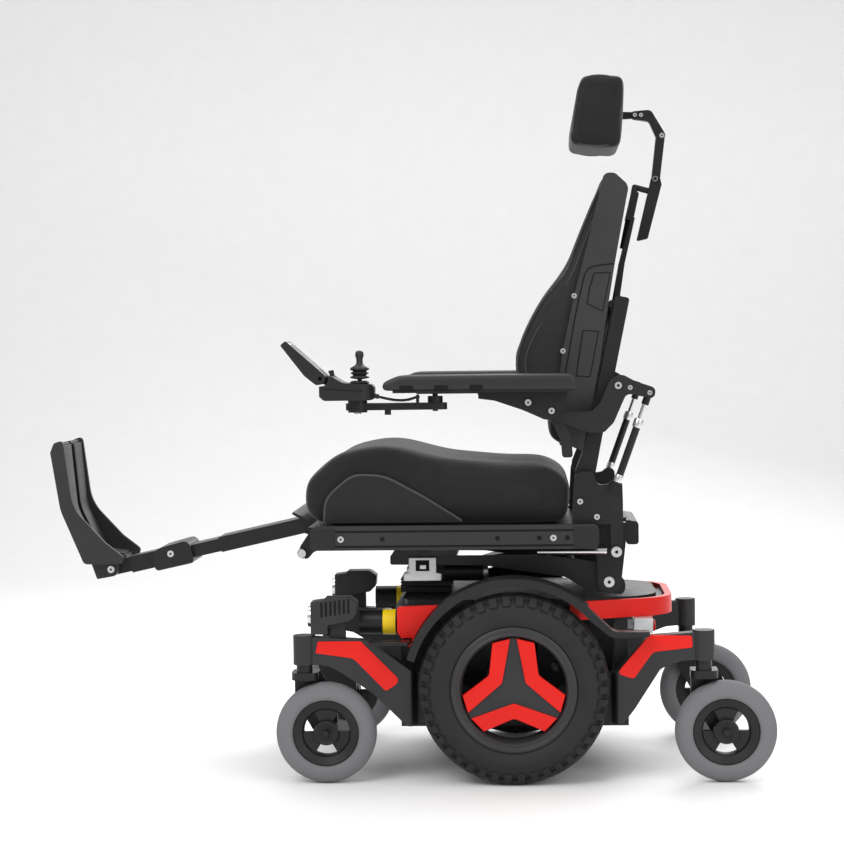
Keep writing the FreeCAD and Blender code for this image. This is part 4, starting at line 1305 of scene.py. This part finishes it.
# ---------------------------------------------------------------- arms and joystick
@dataclass
class Arm(Assembly):
    """Armrest, its carrier and its adjusting strut."""

    side: Side = Side.LEFT

    def build(self) -> None:
        """Build one arm."""
        word = self.side.word
        y = self.side.value
        out = Vector((0, y, 0))
        self.dress(MOULDED_BLACK, f"arm_carrier_{word}")
        self.dress(POWDER_COAT, f"armrest_{word}", f"arm_strut_{word}")
        self._pad(word)
        self.bolts(f"carrier_bolt_{word}", f"arm_carrier_{word}", 8.0, [(199, y * 246.8, 737)], out, height=3.0)
        screws = [(221, y * 246.8, 733), (257, y * 246.8, 723)]
        self.bolts(f"carrier_screw_{word}", f"arm_carrier_{word}", 4.5, screws, out, height=2.0)
        self.bolts(f"flip_bolts_{word}", f"armrest_{word}", 6.0, [(75, y * 270.6, 692), (32, y * 274.6, 708)], out)
        self._strut(word)

    def _pad(self, word: str) -> None:
        """Moulded pad with a tapered front and three grip recesses, drawn as dark plates of painted shade.

        Args:
            word: Side word.
        """
        y = self.side.value
        outline = [(-235, 733, 6), (-235, 748, 10), (-205, 761.5, 40), (112, 761.5, 12), (121, 752, 6), (121, 731, 4)]
        pad = self.kit.slab(f"pad_{word}", outline, y * 252.4, y * 317.4, PAD_SKIN, bevel=9.0, steps=8)
        self.kit.soften(pad, 3.0, 0.15, 1.0, 0)
        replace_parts(pad, f"arm_pad_{word}")
        body = f"armrest_{word}"
        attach(pad, body)
        # Painted shade: a dark plate stands in each grip recess.
        for k, x in enumerate((-203, -139, -75)):
            self.plate(body, f"grip_{word}_{k}", [(x, 733, 3), (x, 743, 3), (x + 25, 743, 3), (x + 25, 733, 3)],
                       y * 310, y * 317.6, PAINTED_SHADE_AND_SEAM, 1.0)
        self.plate(body, f"pad_plate_{word}", [(-216, 728.6), (-216, 733), (112, 733), (112, 728.6)],
                   y * 258, y * 311, MOULDED_BLACK, 1.0)

    def _strut(self, word: str) -> None:
        """Silver screw and collar of the strut, over the plain rod.

        Args:
            word: Side word.
        """
        y = self.side.value
        low = PLACE.point(193, y * 220.5, 547)
        high = PLACE.point(257, y * 220.5, 723)
        along = (high - low).normalized()
        for name, profile, finish, segments in (
                ("collar", [(0, 118), (8.6, 118), (9.2, 121), (9.2, 131), (8.0, 135), (0, 135)], ZINC, 48),
                ("screw", [(0, 134), (4.6, 134), (4.6, 166), (0, 166)], SILVER_ROD, 32),
                ("foot", [(0, 10), (7.6, 10), (8.2, 12), (8.2, 22), (7.6, 24), (0, 24)], ZINC, 48)):
            self.turned(f"arm_strut_{word}", f"strut_{name}_{word}", profile, low, along, finish, segments)


@dataclass
class Joystick(Assembly):
    """Joystick on a swing-away arm, with its display and cable."""

    y: float = -272.0
    route: tuple[Point, ...] = ((-243, -284, 722), (-222, -284, 716.5), (-201, -283.5, 714.6), (-184, -283, 716.6),
                                (-173, -283, 721))

    def build(self) -> None:
        """Build the joystick."""
        self.dress(POWDER_COAT, "joystick_arm", "joystick_gimbal")
        self.dress(MOULDED_BLACK, "joystick_base", "joystick_display")
        self._stick()
        self._toggles()
        self._screen()
        self._cable()
        up = Vector((0, 0, 1))
        self.bolts("swing_bolt", "joystick_arm", 7.0, [(-284, -266, 692)], -up, height=2.0)

    def _stick(self) -> None:
        """Rubber stick with bellows."""
        profile = [(0, 727), (6, 730), (8, 734), (6, 738), (4, 740), (4, 754.4), (8, 755), (17.6, 756.8), (18, 758),
                   (17, 760), (13, 761), (12.4, 762), (13.4, 763.6), (16.6, 765), (17, 766), (16.2, 767.4),
                   (13, 768.6), (12.4, 769.4), (13.6, 770.6), (17.4, 772), (18, 773.6), (17, 776), (12, 778.6),
                   (8.2, 781), (6.4, 784), (5.8, 789), (6.2, 793), (7.6, 797), (8, 801), (7, 805), (4.5, 807.4),
                   (0, 808)]
        middle, up = PLACE.point(-279, self.y, 0), Vector((0, 0, 1))
        stick = self.turned("joystick_stick", "stick", profile, middle, up, PAD_SKIN, 64, 50.0)
        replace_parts(stick, "joystick_stick")
        foot = [(0, 742), (19.5, 742), (19.5, 745.4), (16, 746.6), (18.4, 748.6), (17.6, 750.4), (13, 752), (0, 752)]
        self.turned("joystick_arm", "stick_boot", foot, middle, up, PAD_SKIN, 64, 50.0)

    def _toggles(self) -> None:
        """Two short toggle levers behind the display, and the seam round the base."""
        lever = [(0, -3), (5, -3), (5, 2), (2.4, 3), (2.2, 9), (3, 12), (2.4, 14), (0, 14.4)]
        for name, across in (("left", -24), ("right", 24)):
            centre = PLACE.point(-329, self.y + across, 758)
            self.turned("joystick_arm", f"toggle_{name}", lever, centre, Vector((-0.25, 0, 1)), MOULDED_BLACK, 32)
        seam = [PLACE.point(x, self.y - 42, z) for x, z in ((-346, 738), (-300, 735), (-270, 733))]
        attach(self.kit.tube("base_seam", seam, 0.8, PAINTED_SHADE_AND_SEAM), "joystick_arm")

    def _screen(self) -> None:
        """Screen and light keys on the sloping face of the display."""
        top, foot = Vector((-412, 827)), Vector((-343, 759))
        slope = (foot - top).normalized()
        out = Vector((-slope.y, slope.x))
        out = out if out.x > 0 else -out
        for name, start, end, half, finish in (("screen", 6, 44, 30, SCREEN), ("keys", 52, 64, 27, WHITE_KEY)):
            a, b = top + slope * start, top + slope * end
            outline = [tuple(a - out * 2), tuple(b - out * 2), tuple(b + out * 0.5), tuple(a + out * 0.5)]
            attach(self.kit.slab(name, outline, self.y - half, self.y + half, finish, bevel=0.3), "joystick_display")

    def _cable(self) -> None:
        """Short cable from the back of the base to the swing-away arm."""
        curve = bpy.data.curves.new("joystick_lead", "CURVE")
        curve.dimensions = "3D"
        curve.bevel_depth = 2.5 * MM
        curve.bevel_resolution = 4
        curve.resolution_u = 16
        curve.use_fill_caps = True
        points = [PLACE.point(*p) for p in self.route]
        spline = curve.splines.new("NURBS")
        spline.points.add(len(points) - 1)
        for target, point in zip(spline.points, points):
            target.co = (*point, 1.0)
        spline.order_u = 3
        spline.use_endpoint_u = True
        curve.materials.append(CABLE_SHEATH.build())
        lead = bpy.data.objects.new("joystick_lead", curve)
        bpy.context.scene.collection.objects.link(lead)
        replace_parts(lead, "joystick_cable")
        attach(lead, "joystick_arm")


# ---------------------------------------------------------------- legrest
@dataclass
class Legrest(Assembly):
    """Centre-mounted leg tube and two footplates."""

    def build(self) -> None:
        """Build the legrest."""
        self.dress(POWDER_COAT, "legrest_tube", "legrest_lower")
        for side in Side:
            word = side.word
            y = side.value
            self.dress(MOULDED_CHARCOAL, f"footplate_{word}")
            out = Vector((0, y, 0))
            self.bolts(f"sleeve_bolt_{word}", "legrest_tube", 6.5, [(-674, y * 57.6, 413)], out, height=2.6)
            self.bolts(f"foot_bolt_{word}", "legrest_lower", 7.0, [(-797.5, y * 33.6, 380.6)], out, height=2.6)
            liner = [(-880, 629, 2), (-868.5, 503, 90), (-826, 411, 8), (-780, 405.5), (-780, 408.5), (-823, 415, 8),
                     (-865, 503, 90), (-877, 629, 2)]
            self.plate(f"footplate_{word}", f"sole_liner_{word}", liner, y * 14, y * 84, SHELL_CHARCOAL, 0.8, 8)
            ribs = [PLACE.point(*p) for p in self._rib_places(y)]
            lean = Vector((1, 0, 0.1)).normalized()
            self.blocks(f"sole_ribs_{word}", f"footplate_{word}", (58, 3, 1.6), ribs, [lean] * len(ribs),
                        [Vector((0, 1, 0))] * len(ribs), SHELL_CHARCOAL)

    def _rib_places(self, sign: int) -> list[Point]:
        """Middles of the grip ribs on the straight part of a sole."""
        return [(-876.4 + 0.09 * (620 - z), sign * 49, z) for z in range(540, 621, 10)]


# ---------------------------------------------------------------- studio
@dataclass
class Studio:
    """Pale floor, soft lights and the camera.

    Attributes:
        eye: Camera position in millimetres from the drive axle.
        yaw: Turn to the chair's front, in radians.
        pitch: Downward tilt.
        roll: Turn about the view line.
        lens: Focal length in millimetres.
    """

    eye: Point = (49.4, -4290.0, 813.0)
    yaw: float = -0.0532
    pitch: float = 0.0345
    roll: float = -0.0128
    lens: float = 92.8

    def build(self) -> None:
        """Build the studio."""
        bpy.context.scene.view_settings.view_transform = "Standard"
        self._floor()
        self._world()
        self._lamp("key_light", (-1.9, -3.2, 3.6), 2.6, 105.0)
        self._lamp("fill_light", (2.6, -2.8, 2.0), 2.4, 42.0)
        self._lamp("top_light", (0.2, 0.6, 3.4), 3.0, 75.0)
        self._lamp("rim_light", (1.2, 3.0, 2.4), 2.0, 55.0)
        self._camera()

    def _floor(self) -> None:
        """Wide floor that curves up into a backdrop."""
        build = bmesh.new()
        arc = [(-7.0, 0.0), (3.2, 0.0)]
        bend = [math.pi / 2 * k / 16 for k in range(1, 17)]
        arc += [(3.2 + 1.6 * math.sin(a), 1.6 - 1.6 * math.cos(a)) for a in bend]
        arc += [(4.8, 6.0)]
        rows = [[build.verts.new((x, y, z - 0.0005)) for y, z in arc] for x in (-7.0, 7.0)]
        for i in range(len(arc) - 1):
            build.faces.new((rows[0][i], rows[1][i], rows[1][i + 1], rows[0][i + 1]))
        mesh = bpy.data.meshes.new("studio_floor")
        build.to_mesh(mesh)
        build.free()
        floor = bpy.data.objects.new("studio_floor", mesh)
        bpy.context.scene.collection.objects.link(floor)
        mesh.materials.append(PALE_FLOOR.build())
        for polygon in mesh.polygons:
            polygon.use_smooth = True

    def _world(self) -> None:
        """Even white surroundings."""
        world = bpy.data.worlds.new("soft_white")
        world.use_nodes = True
        background = world.node_tree.nodes["Background"]
        background.inputs["Color"].default_value = (1.0, 1.0, 1.0, 1.0)
        background.inputs["Strength"].default_value = 0.5
        bpy.context.scene.world = world

    def _lamp(self, name: str, place: tuple[float, float, float], size: float, power: float) -> None:
        """Square area light aimed at the middle of the chair.

        Args:
            name: Light name.
            place: Position in metres.
            size: Side length in metres.
            power: Watts.
        """
        data = bpy.data.lights.new(name, "AREA")
        data.size = size
        data.energy = power
        lamp = bpy.data.objects.new(name, data)
        lamp.location = place
        lamp.rotation_euler = (Vector((0.0, 0.0, 0.6)) - Vector(place)).to_track_quat("-Z", "Y").to_euler()
        bpy.context.scene.collection.objects.link(lamp)

    def _camera(self) -> None:
        """Camera on the chair's left side, turned a little to its front."""
        ahead = Vector((math.sin(self.yaw) * math.cos(self.pitch), math.cos(self.yaw) * math.cos(self.pitch),
                        -math.sin(self.pitch)))
        right = Vector((math.cos(self.yaw), -math.sin(self.yaw), 0.0))
        up = right.cross(ahead)
        level, tall = right, up
        right = level * math.cos(self.roll) + tall * math.sin(self.roll)
        up = tall * math.cos(self.roll) - level * math.sin(self.roll)
        data = bpy.data.cameras.new("camera")
        data.lens = self.lens
        data.sensor_width = 36.0
        camera = bpy.data.objects.new("camera", data)
        place = PLACE.point(*self.eye)
        camera.matrix_world = Matrix((
            (right.x, up.x, -ahead.x, place.x),
            (right.y, up.y, -ahead.y, place.y),
            (right.z, up.z, -ahead.z, place.z),
            (0.0, 0.0, 0.0, 1.0),
        ))
        bpy.context.scene.collection.objects.link(camera)
        bpy.context.scene.camera = camera


def main() -> None:
    """Build the chair and its studio."""
    logging.basicConfig(level=logging.INFO)
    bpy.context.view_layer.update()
    kit = MeshKit(NodeKit())
    DriveBase(kit).build()
    Lift(kit).build()
    Seat(kit).build()
    Back(kit).build()
    Headrest(kit).build()
    for side in Side:
        Arm(kit, side).build()
    Joystick(kit).build()
    Legrest(kit).build()
    Studio().build()


if __name__ == "__main__":
    main()
